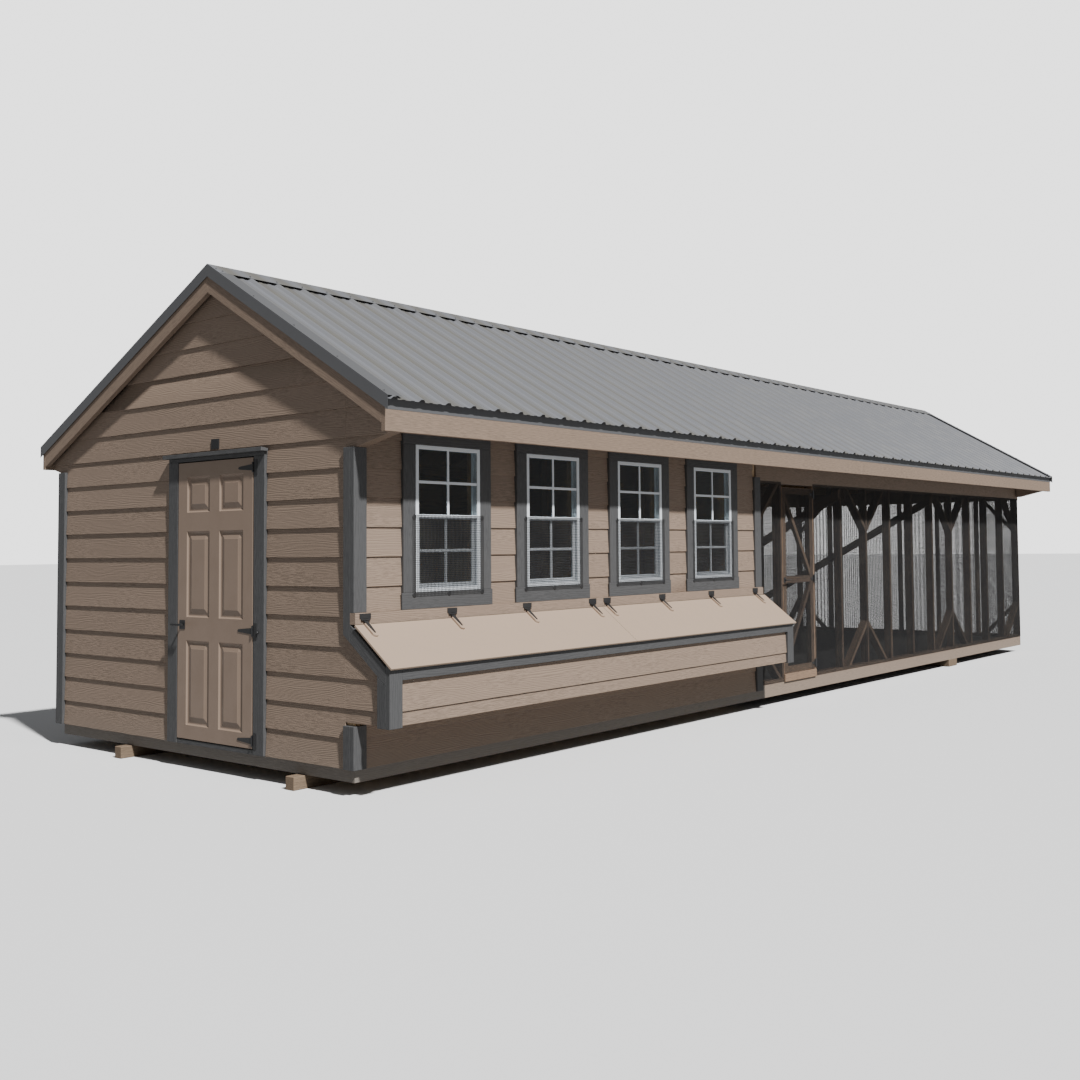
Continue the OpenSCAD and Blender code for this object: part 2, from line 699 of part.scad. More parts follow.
module run_front_frame() place() color([0.42, 0.33, 0.26]) {
    first_bay = run_post_l - stud_t - coop_end - stud_t;
    short_leg = min(brace_leg, first_bay - brace_half - 2);
    block(coop_end, total_l, 0, stud_d, run_rim_h, run_plate_top);
    block(coop_end, coop_end + stud_t, 0, stud_d, run_plate_top, run_head_z);
    block(run_post_l - stud_t, run_post_l, 0, stud_d, run_plate_top, run_head_z);
    block(run_post_r, run_post_r + stud_t, 0, stud_d, run_plate_top, run_head_z);
    for (x = run_studs)
        if (x - stud_t > run_post_r + stud_t)
            block(x - stud_t, x, 0, stud_d, run_plate_top, run_head_z);
    brace_x(coop_end + stud_t, 1, 0, run_head_z, 1, short_leg);
    brace_x(coop_end + stud_t, 1, 0, run_plate_top, -1, short_leg);
    run_wall_braces(0, run_head_z);
    // stops behind the run door
    for (x = [run_post_l, run_post_r - 17])
        block(x, x + 17, stud_t + seat, stud_d, run_door_z0, run_door_top);
    // kick board under the door
    block(run_post_l - 10, run_post_r + 3, -19, 0, run_rim_h, run_door_z0 - 4);
}

module run_rear_frame() place() color([0.42, 0.33, 0.26]) {
    y0 = building_w - stud_d;
    top = rear_wall_h - 2 * stud_t - 184;
    block(coop_end, total_l, y0, building_w, run_rim_h, run_plate_top);
    block(coop_end, coop_end + stud_t, y0, building_w, run_plate_top, top);
    for (x = run_studs)
        if (x - stud_t > coop_end + 2 * stud_t)
            block(x - stud_t, x, y0, building_w, run_plate_top, top);
    run_wall_braces(y0, top);
    // end wall
    x0 = total_l - stud_d;
    inner0 = stud_d;
    inner1 = building_w - stud_d;
    block(x0, total_l, inner0, inner1, run_rim_h, run_plate_top);
    for (i = [1 : 5]) {
        y = i * building_w / 6;
        block(x0, total_l, y - stud_t / 2, y + stud_t / 2, run_plate_top, run_head_z);
    }
    for (side = [0, 1]) {
        y = side == 0 ? inner0 : inner1;
        dir = side == 0 ? 1 : -1;
        leg = 400;
        prism_x(x0, total_l, [
            [y, run_head_z - leg - brace_half], [y, run_head_z - leg + brace_half],
            [y + dir * (leg - brace_half), run_head_z], [y + dir * (leg + brace_half), run_head_z]
        ]);
        prism_x(x0, total_l, [
            [y, run_plate_top + leg + brace_half], [y, run_plate_top + leg - brace_half],
            [y + dir * (leg - brace_half), run_plate_top],
            [y + dir * (leg + brace_half), run_plate_top]
        ]);
    }
}

module run_headers() place() color(tan_paint) {
    rear_head = rear_wall_h - 2 * stud_t;
    for (y = [0, stud_d / 2])
        block(coop_end, total_l, y, y + stud_d / 2, run_head_z, front_wall_h - 2 * stud_t);
    front_top_plate(coop_l, total_l);
    for (y = [building_w - stud_d, building_w - stud_d / 2])
        block(coop_end, total_l, y, y + stud_d / 2, rear_head - 184, rear_head);
    rear_top_plate(coop_l, total_l);
    block(total_l - stud_d, total_l, stud_d, building_w - stud_d, run_head_z, run_head_z + 184);
    for (i = [1 : 5]) {
        y = i * building_w / 6;
        prism_x(total_l - stud_d, total_l, [
            [y - stud_t / 2, run_head_z + 184], [y + stud_t / 2, run_head_z + 184],
            [y + stud_t / 2, roof_low(y + stud_t / 2)], [y - stud_t / 2, roof_low(y - stud_t / 2)]
        ]);
    }
}

module wire_mesh() place() color(black_steel) {
    low = run_rim_h + 4;
    block(coop_end, run_post_l - 12, -mesh_t, 0, low, run_head_z + 20);
    block(run_post_r + 12, total_l, -mesh_t, 0, low, run_head_z + 20);
    block(coop_end, total_l, building_w, building_w + mesh_t, low,
        rear_wall_h - 2 * stud_t - 164);
    block(total_l, total_l + mesh_t, 0, building_w, low, run_head_z);
    // guards over the lower sashes, held by washers
    half = window_w / 2 + guard_over;
    guard_low = window_z0 - guard_over;
    guard_top = window_z0 + meeting_h + 8;
    for (x = window_x) {
        block(x - half, x + half, -trim_face - mesh_t, -trim_face, guard_low, guard_top);
        for (p = [[-half + washer_r, guard_low + washer_r], [0, guard_low + washer_r],
                [half - washer_r, guard_low + washer_r], [-half + washer_r, guard_top - washer_r],
                [half - washer_r, guard_top - washer_r]])
            translate([x + p[0], -trim_face - mesh_t, p[1]])
                rotate([90, 0, 0]) cylinder(r = washer_r, h = 3);
    }
}

sway_fall = 1902;
module sway_braces() place() color([0.40, 0.29, 0.20]) {
    top = run_head_z - 20;
    drop = sway_fall / building_w;         // fall per unit of width
    foot = run_plate_top;
    wide = stud_d / cos(atan(drop));
    for (k = [5, clear_spaces(stud_t)]) {
        x = total_l - k * stud_pitch - stud_t;
        prism_x(x - stud_t, x, [
            [0, top], [0, top - wide], [(top - wide - foot) / drop, foot], [building_w, foot],
            [building_w, top - drop * building_w]
        ]);
    }
}

// ---------- roof ----------

module rafters() place() color(raw_wood) {
    tail = fascia_y + trim_t;
    rear_tail = rear_fascia_y - trim_t;
    count = floor((total_l - stud_t) / stud_pitch);
    front_end = ridge_y - stud_t / 2;
    rear_end = ridge_y + stud_t / 2;
    for (x = concat([for (i = [0 : count]) i * stud_pitch], [total_l - stud_t])) {
        if (x <= total_l - 2 * stud_t || x == total_l - stud_t) {
            prism_x(x, x + stud_t, [
                [tail, front_low(tail) + joint], [front_end, front_low(front_end) + joint],
                [front_end, front_top(front_end)], [tail, front_top(tail)]
            ]);
            prism_x(x, x + stud_t, [
                [rear_tail, rear_low(rear_tail) + joint], [rear_end, rear_low(rear_end) + joint],
                [rear_end, rear_top(rear_end)], [rear_tail, rear_top(rear_tail)]
            ]);
        }
    }
}

module ridge_board() place() color(raw_wood) {
    top = min(front_top(ridge_y - stud_t / 2), rear_top(ridge_y + stud_t / 2));
    block(-rake_out + trim_t, total_l + rake_out_far - trim_t, ridge_y - stud_t / 2,
        ridge_y + stud_t / 2, roof_low(peak_y) + joint, top);
}

module eave_boards() place() color(tan_paint) {
    x0 = -rake_out;
    x1 = total_l + rake_out_far;
    y0 = fascia_y;
    y1 = rear_fascia_y;
    back0 = y0 + trim_t - joint;
    back1 = y1 - trim_t + joint;
    prism_x(x0, x1, [
        [y0, fascia_z], [back0, fascia_z], [back0, front_top(back0)], [y0, front_top(y0)]
    ]);
    prism_x(x0, x1, [
        [y1, rear_fascia_z], [back1, rear_fascia_z], [back1, rear_top(back1)], [y1, rear_top(y1)]
    ]);
    // boxed returns under the eaves at both gables
    inner = corner_w - trim_face;
    for (x = [[-panel_t, inner], [total_l - inner, total_l + panel_t]]) {
        prism_x(x[0], x[1], front_return(-panel_t));
        prism_x(x[0], x[1], rear_return(building_w + panel_t));
    }
}

// Board under the deck's edge that follows both slopes
module rake_pair(x0, x1, depth) {
    tail = fascia_y + trim_t;
    rear_tail = rear_fascia_y - trim_t;
    front_drop = depth / front_cos;
    rear_drop = depth / rear_cos;
    front_end = ridge_y - joint;
    rear_end = ridge_y + joint;
    prism_x(x0, x1, [
        [tail, front_top(tail) - front_drop], [front_end, front_top(front_end) - front_drop],
        [front_end, front_top(front_end)], [tail, front_top(tail)]
    ]);
    prism_x(x0, x1, [
        [rear_tail, rear_top(rear_tail) - rear_drop], [rear_end, rear_top(rear_end) - rear_drop],
        [rear_end, rear_top(rear_end)], [rear_tail, rear_top(rear_tail)]
    ]);
}

module rake_boards() place() color(tan_paint) {
    rake_pair(-rake_out, -rake_out + trim_t, rake_board_d);
    rake_pair(total_l + rake_out_far - trim_t, total_l + rake_out_far, rake_board_d);
}

deck_eave = fascia_y;
deck_rear = rear_fascia_y;
module roof_deck() place() color([0.72, 0.6, 0.42]) {
    x0 = -rake_out;
    x1 = total_l + rake_out_far;
    sheet = (x1 - x0) / 5;
    deck_v = panel_t / front_cos;
    rear_deck_v = panel_t / rear_cos;
    front_end = ridge_y - joint;
    rear_end = ridge_y + joint;
    for (i = [0 : 4]) {
        prism_x(x0 + i * sheet, x0 + (i + 1) * sheet, [
            [deck_eave, front_low(deck_eave) + rafter_v],
            [front_end, front_low(front_end) + rafter_v],
            [front_end, front_deck(front_end)],
            [deck_eave, front_low(deck_eave) + rafter_v + deck_v]
        ]);
        prism_x(x0 + i * sheet, x0 + (i + 1) * sheet, [
            [deck_rear, rear_low(deck_rear) + rear_rafter_v],
            [rear_end, rear_low(rear_end) + rear_rafter_v],
            [rear_end, rear_deck(rear_end)],
            [deck_rear, rear_low(deck_rear) + rear_rafter_v + rear_deck_v]
        ]);
    }
}

// Ribbed sheets. The profile lies in x and height over the deck.
metal_t = 1;
metal_lift = 1.5;                          // room for the drip edge's flange
rib_base = 44;
rib_crown = 18;
panel_ribs = 4;
rib_lead = 49;                             // first rib's centre from the panel's edge
roof_x0 = -rake_near + 2;
roof_x1 = total_l + rake_far - 2;
rib_total = ceil((roof_x1 - roof_x0 - rib_lead) / rib_pitch);

// Points over one rib: height 0 is the sheet's underside
function rib_points(c, lift) = [
    [c - rib_base / 2 - (lift > 0 ? 0.6 : 0), lift],
    [c - rib_crown / 2 - (lift > 0 ? 0.6 : 0), rib_h - metal_t + lift],
    [c + rib_crown / 2 + (lift > 0 ? 0.6 : 0), rib_h - metal_t + lift],
    [c + rib_base / 2 + (lift > 0 ? 0.6 : 0), lift]
];
function reversed(list) = [for (i = [len(list) - 1 : -1 : 0]) list[i]];

module roof_sheet(x0, x1, ribs, length) {
    under = [for (c = ribs) each rib_points(c, 0)];
    over = [for (c = ribs) each rib_points(c, metal_t)];
    prism_y(0, length, concat([[x0, 0]], under, [[x1, 0], [x1, metal_t]], reversed(over),
        [[x0, metal_t]]));
}

module roof_sheets(length) {
    cover = panel_ribs * rib_pitch;
    for (p = [0 : ceil((roof_x1 - roof_x0) / cover) - 1]) {
        x0 = roof_x0 + p * cover;
        x1 = min(x0 + cover, roof_x1) - 2 * joint;
        ribs = [for (r = [0 : panel_ribs - 1])
            if (x0 + rib_lead + r * rib_pitch + rib_base < x1) x0 + rib_lead + r * rib_pitch];
        roof_sheet(x0, x1, ribs, length);
    }
}

metal_high = metal_lift + rib_h;           // top of a rib over the deck
eave_y = -front_over + metal_high * sin(front_angle);
rear_eave_y = building_w + rear_over - metal_high * sin(rear_angle);
function front_deck(y) = ridge_top - front_pitch * (ridge_y - y);
function rear_deck(y) = ridge_top - rear_pitch * (y - ridge_y);
sheet_gap = 45;                            // the sheets stop this far short of the ridge

module roof_panels_front() place() color(roof_grey)
    translate([0, eave_y, front_deck(eave_y)]) rotate([front_angle, 0, 0])
        translate([0, 0, metal_lift])
            roof_sheets((ridge_y - eave_y) / front_cos - sheet_gap);

module roof_panels_rear() place() color(roof_grey)
    translate([0, rear_eave_y, rear_deck(rear_eave_y)]) rotate([-rear_angle, 0, 0])
        translate([0, -((rear_eave_y - ridge_y) / rear_cos - sheet_gap), metal_lift])
            roof_sheets((rear_eave_y - ridge_y) / rear_cos - sheet_gap);

// Thin sheet over the ribs between two widths, following one slope each side of the ridge
module over_ribs(x0, x1, y0, y1, lift, thick) {
    front_v = lift / front_cos;
    rear_v = lift / rear_cos;
    peak = ridge_top + max(front_v, rear_v);
    prism_x(x0, x1, [
        [y0, front_deck(y0) + front_v], [ridge_y, peak], [y1, rear_deck(y1) + rear_v],
        [y1, rear_deck(y1) + rear_v + thick], [ridge_y, peak + thick],
        [y0, front_deck(y0) + front_v + thick]
    ]);
}

module ridge_cap() place() color(roof_grey)
    over_ribs(-rake_near, total_l + rake_far, ridge_y - cap_w * front_cos,
        ridge_y + cap_w * rear_cos, metal_high + 1.5, 1.2);

module roof_edge_trim() place() color([0.25, 0.26, 0.28]) {
    leg = 90;
    // rake trims: a flange over the ribs and a leg down the rake board
    for (side = [0, 1]) {
        outer = side == 0 ? -rake_near : total_l + rake_far;
        dir = side == 0 ? 1 : -1;
        flange = [outer - dir * joint, outer + dir * edge_flange];
        fin = [outer - dir * joint, outer + dir * 1.2];
        for (slope = [0, 1]) {
            y0 = slope == 0 ? -front_over + 12 : ridge_y + joint;
            y1 = slope == 0 ? ridge_y - joint : building_w + rear_over - 12;
            lift = (metal_high + 0.2) / (slope == 0 ? front_cos : rear_cos);
            z0 = (slope == 0 ? front_deck(y0) : rear_deck(y0)) + lift;
            z1 = (slope == 0 ? front_deck(y1) : rear_deck(y1)) + lift;
            prism_x(min(flange), max(flange), [[y0, z0], [y1, z1], [y1, z1 + 1], [y0, z0 + 1]]);
            prism_x(min(fin), max(fin), [[y0, z0 - leg], [y1, z1 - leg], [y1, z1], [y0, z0]]);
        }
    }
    // drip edges: a flange on the deck and a leg in front of the fascia
    x0 = -rake_out;
    x1 = total_l + rake_out_far;
    drip_d = 62;
    drip_in = 80;
    y0 = deck_eave - joint;
    front_in = deck_eave + drip_in;
    top = front_deck(deck_eave) + joint;
    top_in = front_deck(front_in) + joint;
    prism_x(x0, x1, [
        [y0 - 1.2, top - drip_d - 16], [y0, top - drip_d - 16], [y0, top], [front_in, top_in],
        [front_in, top_in + 1], [y0 - 1.2, top + 0.5]
    ]);
    y1 = deck_rear + joint;
    rear_in = deck_rear - drip_in;
    back_top = rear_deck(deck_rear) + joint;
    back_in = rear_deck(rear_in) + joint;
    prism_x(x0, x1, [
        [y1 + 1.2, back_top - drip_d], [y1, back_top - drip_d], [y1, back_top],
        [rear_in, back_in], [rear_in, back_in + 1], [y1 + 1.2, back_top + 0.5]
    ]);
}

// ---------- windows ----------

module window_trims() place() color(grey_paint)
    for (x = window_x) {
        half = window_w / 2;
        out = half + window_trim_w;
        block(x - out, x - half, -trim_face, -panel_t, window_z0, window_top);
        block(x + half, x + out, -trim_face, -panel_t, window_z0, window_top);
        block(x - out - 12, x + out + 12, -trim_face, -panel_t - lap_butt - 1,
            window_z0 - sill_trim_h, window_z0);
        block(x - out, x + out, -panel_t - lap_butt - 1, -panel_t,
            window_z0 - sill_trim_h, window_z0);
        block(x - out, x + out, -trim_face, -panel_t, window_top, window_top + head_trim_h);
    }

// Bars between panes: one upright and one level, over a field of the window at x
module muntins(x, wide, y0, y1, z0, z1) {
    mid = (z0 + z1) / 2;
    block(x - muntin / 2, x + muntin / 2, y0, y1, z0, z1);
    block(x - wide, x + wide, y0, y1, mid - muntin / 2, mid + muntin / 2);
}

// The four panes that fill the same field, from their outer face at y
module panes(x, wide, y, z0, z1)
    for (side = [-1, 1], row = [[z0, (z0 + z1 - muntin) / 2], [(z0 + z1 + muntin) / 2, z1]]) {
        a = x + side * muntin / 2;
        b = x + side * wide;
        block(min(a, b), max(a, b), y, y + glass_t, row[0], row[1]);
    }

window_back = 10;
rail_half = 11;
module window_frames() place() color([0.88, 0.9, 0.92])
    for (x = window_x) {
        half = window_w / 2;
        inner = half - window_bar;
        bead = 8;
        rail_z = window_z0 + meeting_h;
        for (side = [-1, 1]) {
            a = x + side * half;
            b = x + side * inner;
            c = x + side * (inner - bead);
            block(min(a, b), max(a, b), -trim_face, window_back, window_z0, window_top);
            block(min(b, c), max(b, c), sash_y + sash_depth + sash_clear, window_back,
                window_z0 + window_bar, window_top - window_bar);
        }
        block(x - inner, x + inner, -trim_face, window_back, window_z0, window_z0 + window_bar);
        block(x - inner, x + inner, -trim_face, window_back, window_top - window_bar, window_top);
        block(x - inner, x + inner, -trim_face + 2, sash_y - sash_clear, rail_z - rail_half,
            rail_z + rail_half);
        muntins(x, inner, -trim_face + 6, -30, rail_z + rail_half, window_top - window_bar);
    }

glass_t = 4;
fixed_glass_y = -42;
module fixed_glass() place() color([0.6, 0.7, 0.75, 0.4])
    for (x = window_x)
        panes(x, window_w / 2 - window_bar, fixed_glass_y, window_z0 + meeting_h + rail_half,
            window_top - window_bar);

sash_half = window_w / 2 - window_bar - sash_clear;
sash_z0 = window_z0 + window_bar + seat;
sash_z1 = window_z0 + meeting_h + 14;
module sash(i) place() color([0.88, 0.9, 0.92]) {
    x = window_x[i];
    y1 = sash_y + sash_depth;
    inner = sash_half - sash_bar;
    block(x - sash_half, x - inner, sash_y, y1, sash_z0, sash_z1);
    block(x + inner, x + sash_half, sash_y, y1, sash_z0, sash_z1);
    block(x - inner, x + inner, sash_y, y1, sash_z0, sash_z0 + sash_bar);
    block(x - inner, x + inner, sash_y, y1, sash_z1 - sash_bar, sash_z1);
    muntins(x, inner, sash_y + 2, y1 - 2, sash_z0 + sash_bar, sash_z1 - sash_bar);
}

module sash_glass(i) place() color([0.6, 0.7, 0.75, 0.4]) {
    panes(window_x[i], sash_half - sash_bar, sash_y + (sash_depth - glass_t) / 2,
        sash_z0 + sash_bar, sash_z1 - sash_bar);
}

// ---------- entry door ----------

module door_trim() place() color(grey_paint) {
    trim0 = opening_y0 - door_trim_w;
    trim1 = opening_y1 + door_trim_w;
    cap_x = -trim_face - 42;
    cap_over = 20;
    block(-trim_face, -panel_t, trim0, opening_y0, siding_z, head_z);
    block(-trim_face, -panel_t, opening_y1, trim1, siding_z, head_z);
    block(-trim_face, -panel_t, trim0, trim1, head_z, cap_z);
    // drip cap with a sloped top
    block(-panel_t - lap_butt - 1, -panel_t, trim0, trim1, cap_z, cap_z + cap_h);
    prism_y(trim0 - cap_over, trim1 + cap_over, [
        [-panel_t - lap_butt - 1, cap_z], [cap_x, cap_z], [cap_x, cap_z + 6],
        [-panel_t - lap_butt - 1, cap_z + cap_h]
    ]);
}

module door_jamb() place() color(grey_paint) {
    rough0 = opening_y0 - jamb_t;
    rough1 = opening_y1 + jamb_t;
    stop_x = door_x + door_t + seat;
    sill_top = door_z0 - 7;
    block(-panel_t, stud_d, rough0, opening_y0, floor_top, head_z);
    block(-panel_t, stud_d, opening_y1, rough1, floor_top, head_z);
    block(-panel_t, stud_d, rough0, rough1, head_z, head_z + jamb_t);
    for (y = [opening_y0, opening_y1 - 15])
        block(stop_x, stop_x + 25, y, y + 15, sill_top, head_z);
    block(stop_x, stop_x + 25, opening_y0 + 15, opening_y1 - 15, head_z - 15, head_z);
    block(0, stud_d, opening_y0, opening_y1, floor_top, sill_top);
    block(door_x + 4, 0, opening_y0, opening_y1, siding_z, sill_top);
}

stile_w = 112;
mullion_w = 118;
// Panel rows as bottom and top heights over the door's bottom edge
panel_rows = [[0.05, 0.355], [0.439, 0.75], [0.818, 0.948]];
module entry_door() place() color([0.36, 0.36, 0.38]) {
    panel_w = (door_w - 2 * stile_w - mullion_w) / 2;
    recess = 7;
    field = 32;
    difference() {
        union() {
            difference() {
                block(door_x, door_x + door_t, door_y0, door_y0 + door_w, door_z0, door_top);
                for (y = door_panels(), row = panel_rows)
                    block(door_x - 1, door_x + recess, y, y + panel_w,
                        door_z0 + row[0] * door_h, door_z0 + row[1] * door_h);
            }
            for (y = door_panels(), row = panel_rows)
                block(door_x + 2, door_x + recess + 1, y + field, y + panel_w - field,
                    door_z0 + row[0] * door_h + field, door_z0 + row[1] * door_h - field);
        }
        translate([door_x - 1, handle_y, handle_z]) rotate([0, 90, 0])
            cylinder(r = handle_r + pin_fit, h = door_t + 2);
    }
}
function door_panels() = [
    door_y0 + stile_w,
    door_y0 + stile_w + (door_w - 2 * stile_w - mullion_w) / 2 + mullion_w
];

handle_r = 8;
handle_reach = 48;                         // stays within the roof's reach past the gable
handle_bar = 140;
// Plate round a handle's shaft: the shaft lies on local x, the plate from 0 to -leaf_t
module escutcheon(wide, radius) {
    difference() {
        exact_block(-leaf_t, 0, -wide / 2, wide / 2, -wide / 2, wide / 2);
        translate([-leaf_t - 1, 0, 0]) rotate([0, 90, 0])
            cylinder(r = radius + pin_fit, h = leaf_t + 2);
    }
}

// T-shaped handle with its shaft on local x, through a door from 0 to thick
module tee_handle(thick, radius, reach, bar) {
    translate([-reach, 0, 0]) rotate([0, 90, 0]) cylinder(r = radius, h = reach + thick + 30);
    translate([-reach, bar / 2, 0]) rotate([90, 0, 0]) cylinder(r = radius, h = bar);
    translate([thick + 12, 0, 0]) rotate([0, 90, 0]) cylinder(r = radius * 2.6, h = 16);
}

module entry_straps() place() color(black_steel) {
    for (z = hinge_heights) at_entry(z) strap(165, 22, 9);
    translate([door_x, handle_y, handle_z]) escutcheon(66, handle_r);
    translate([door_x + door_t + leaf_t, handle_y, handle_z]) escutcheon(50, handle_r);
}

module entry_handle() place() color(black_steel)
    translate([door_x, handle_y, handle_z]) tee_handle(door_t, handle_r, handle_reach, handle_bar);

module hinge_plates() place() color(black_steel) {
    for (z = hinge_heights) at_entry(z) fixed_leaf(55, 44);
    for (x = concat(lid_hinges_left, lid_hinges_right)) at_lid(x, 0) fixed_leaf(46, 41);
    for (z = run_hinges_z) at_run(z) fixed_leaf(44, 38);
}

// ---------- nest boxes ----------

// Section of an upright board across the nests, under the lids
nest_front = nest_face_y + nest_wall + joint;
nest_section = [
    [nest_front, nest_z0 + nest_wall], [-panel_t, nest_z0 + nest_wall],
    [-panel_t, nest_top(nest_hinge_y + hinge_plane)],
    [nest_hinge_y + hinge_plane, nest_top(nest_hinge_y + hinge_plane)],
    [nest_front, nest_top(nest_front)]
];

module nest_box() place() color([0.72, 0.6, 0.42]) {
    divider = 12;
    block(nest_x0, nest_x1, nest_face_y, -panel_t, nest_z0, nest_z0 + nest_wall);
    prism_x(nest_x0, nest_x1, [
        [nest_face_y, nest_z0 + nest_wall], [nest_face_y + nest_wall, nest_z0 + nest_wall],
        [nest_face_y + nest_wall, nest_top(nest_face_y + nest_wall)],
        [nest_face_y, nest_top(nest_face_y)]
    ]);
    prism_x(nest_x0, nest_x0 + nest_wall, nest_section);
    prism_x(nest_x1 - nest_wall, nest_x1, nest_section);
    for (k = [1 : nest_count - 1])
        prism_x(k * nest_pitch - divider / 2, k * nest_pitch + divider / 2, nest_section);
}

module nest_cladding() place() color(tan_paint) {
    inner = corner_w - trim_face;
    far = coop_end - corner_w;
    board_face = nest_hinge_y + hinge_plane;
    board_z0 = nest_hinge_z - 27;
    siding_x(nest_face_y, -1, inner, far, nest_z0, nest_top(-nest_out) - nest_rail_h);
    // hinge board on its packer
    block(-trim_face, coop_end, -trim_face, -panel_t, board_z0, board_z0 + hinge_board_h);
    block(-trim_face, coop_end, board_face, -trim_face, board_z0, board_z0 + hinge_board_h);
    // siding on the sloped ends
    mid = nest_face_y + nest_side_w;
    for (side = [0, 1]) {
        back = side == 0 ? inner : -panel_t;
        outline = [
            [mid, nest_z0], [back, nest_z0], [back, nest_edge(back) - nest_edge_v],
            [mid, nest_edge(mid) - nest_edge_v]
        ];
        clipped_siding(side == 0 ? nest_x0 : nest_x1, side == 0 ? -1 : 1, mid, back, nest_z0,
            nest_edge(back) - nest_edge_v, outline);
    }
}

// Lid with shims under its hinge straps, in the hinge line's sloped frame
module nest_lid(x0, x1, hinges) {
    translate([0, nest_hinge_y, nest_hinge_z]) rotate([nest_slope, 0, 0]) {
        block(x0, x1, -lid_length, -lid_start, -lid_pin_h - lid_t, -lid_pin_h);
        for (x = hinges) {
            block(x - 22, x + 22, -125, -lid_start - 4, -lid_pin_h, -hinge_plane);
            translate([x, -125, -lid_pin_h]) cylinder(r = 22, h = lid_pin_h - hinge_plane);
        }
    }
}

module nest_lid_left() place() color(tan_paint)
    nest_lid(-trim_face - 10, lid_split - 1.5, lid_hinges_left);

module nest_lid_right() place() color(tan_paint)
    nest_lid(lid_split + 1.5, coop_end + 10, lid_hinges_right);

module nest_straps_left() place() color(black_steel)
    for (x = lid_hinges_left) at_lid(x, nest_slope - 90) strap(118, 16, 6);

module nest_straps_right() place() color(black_steel)
    for (x = lid_hinges_right) at_lid(x, nest_slope - 90) strap(118, 16, 6);

// ---------- run door ----------

module run_door() place() color([0.42, 0.33, 0.26]) {
    x0 = run_x0 + run_door_bar;
    x1 = run_x1 - run_door_bar;
    mid0 = run_mid_z - run_door_bar / 2;
    mid1 = run_mid_z + run_door_bar / 2;
    low = run_door_z0 + run_door_bar;
    high = run_door_top - run_door_bar;
    difference() {
        block(run_x0, x0, 0, stud_t, run_door_z0, run_door_top);
        translate([run_x0 + run_door_bar / 2, -1, run_mid_z]) rotate([-90, 0, 0])
            cylinder(r = run_handle_r + pin_fit, h = stud_t + 2);
    }
    block(x1, run_x1, 0, stud_t, run_door_z0, run_door_top);
    block(x0, x1, 0, stud_t, run_door_z0, low);
    block(x0, x1, 0, stud_t, mid0, mid1);
    block(x0, x1, 0, stud_t, high, run_door_top);
    // braces that carry the latch side's corners down to the hinge side
    tall = stud_t / cos(atan((high - mid1) / (x1 - x0)));
    prism_y(0, stud_t, [[x0, high - tall], [x0, high], [x1, mid1 + tall], [x1, mid1]]);
    prism_y(0, stud_t, [[x0, low], [x0, low + tall], [x1, mid0], [x1, mid0 - tall]]);
}

run_handle_r = 6;
module run_door_mesh() place() color(black_steel)
    difference() {
        block(run_x0 + 4, run_x1 - 4, -mesh_t, 0, run_door_z0 + 4, run_door_top - 4);
        translate([run_x0 + run_door_bar / 2, -2, run_mid_z]) rotate([-90, 0, 0])
            cylinder(r = run_handle_r + pin_fit, h = 4);
    }

module run_straps() place() color(black_steel) {
    for (z = run_hinges_z) at_run(z) strap(50, 20, 8);
    translate([run_x0 + run_door_bar / 2, -mesh_t, run_mid_z]) rotate([0, 0, 90])
        escutcheon(46, run_handle_r);
}

module run_handle() place() color(black_steel)
    translate([run_x0 + run_door_bar / 2, 0, run_mid_z]) rotate([0, 0, 90])
        tee_handle(stud_t, run_handle_r, 46, 110);

// ---------- pop door and roosts ----------

module pop_door() place() color([0.36, 0.36, 0.38])
    block(coop_end + seat, coop_end + seat + panel_t, pop_y0 - pop_lap, pop_y0 + pop_w + pop_lap,
        pop_z0 - 10, pop_z0 + pop_h + pop_lap);

module pop_guides() place() color(grey_paint) {
    face = coop_l + panel_t;
    slot = panel_t + 2 * seat;
    ledge_top = pop_z0 - 10 - seat;
    for (side = [-1, 1]) {
        edge = side < 0 ? pop_y0 : pop_y0 + pop_w;
        outer = edge + side * pop_frame_w;
        spacer = edge + side * (pop_lap + sash_clear);
        cover = spacer + side * 18;
        lip = spacer - side * 9;
        block(face, coop_end, min(edge, outer), max(edge, outer), floor_top, pop_top);
        block(coop_end, coop_end + slot, min(spacer, cover), max(spacer, cover), ledge_top,
            pop_top);
        block(coop_end + slot, coop_end + slot + 6, min(lip, cover), max(lip, cover), ledge_top,
            pop_top);
    }
    block(face, coop_end, pop_y0, pop_y0 + pop_w, pop_z0 + pop_h, pop_top);
    block(face, coop_end, pop_y0, pop_y0 + pop_w, floor_top, pop_z0);
    block(coop_end, coop_end + slot + 6, pop_y0 - pop_lap - 19, pop_y0 + pop_w + pop_lap + 19,
        ledge_top - 18, ledge_top);
}

module roost_bars() place() color([0.60, 0.47, 0.33]) {
    z = 700;
    frames = [stud_d + 150, coop_l / 2, coop_l - stud_d - 150 - stud_t];
    first = building_w - stud_d - 1000;
    for (x = frames) {
        block(x, x + stud_t, first, building_w - stud_d, z - stud_d, z);
        for (y = [first + 20, building_w - stud_d - stud_t - 20])
            block(x, x + stud_t, y, y + stud_t, floor_top, z - stud_d);
    }
    for (i = [0 : 2])
        block(stud_d + 60, coop_l - stud_d - 60, first + 80 + i * 350, first + 80 + i * 350 + stud_d,
            z, z + stud_t);
}

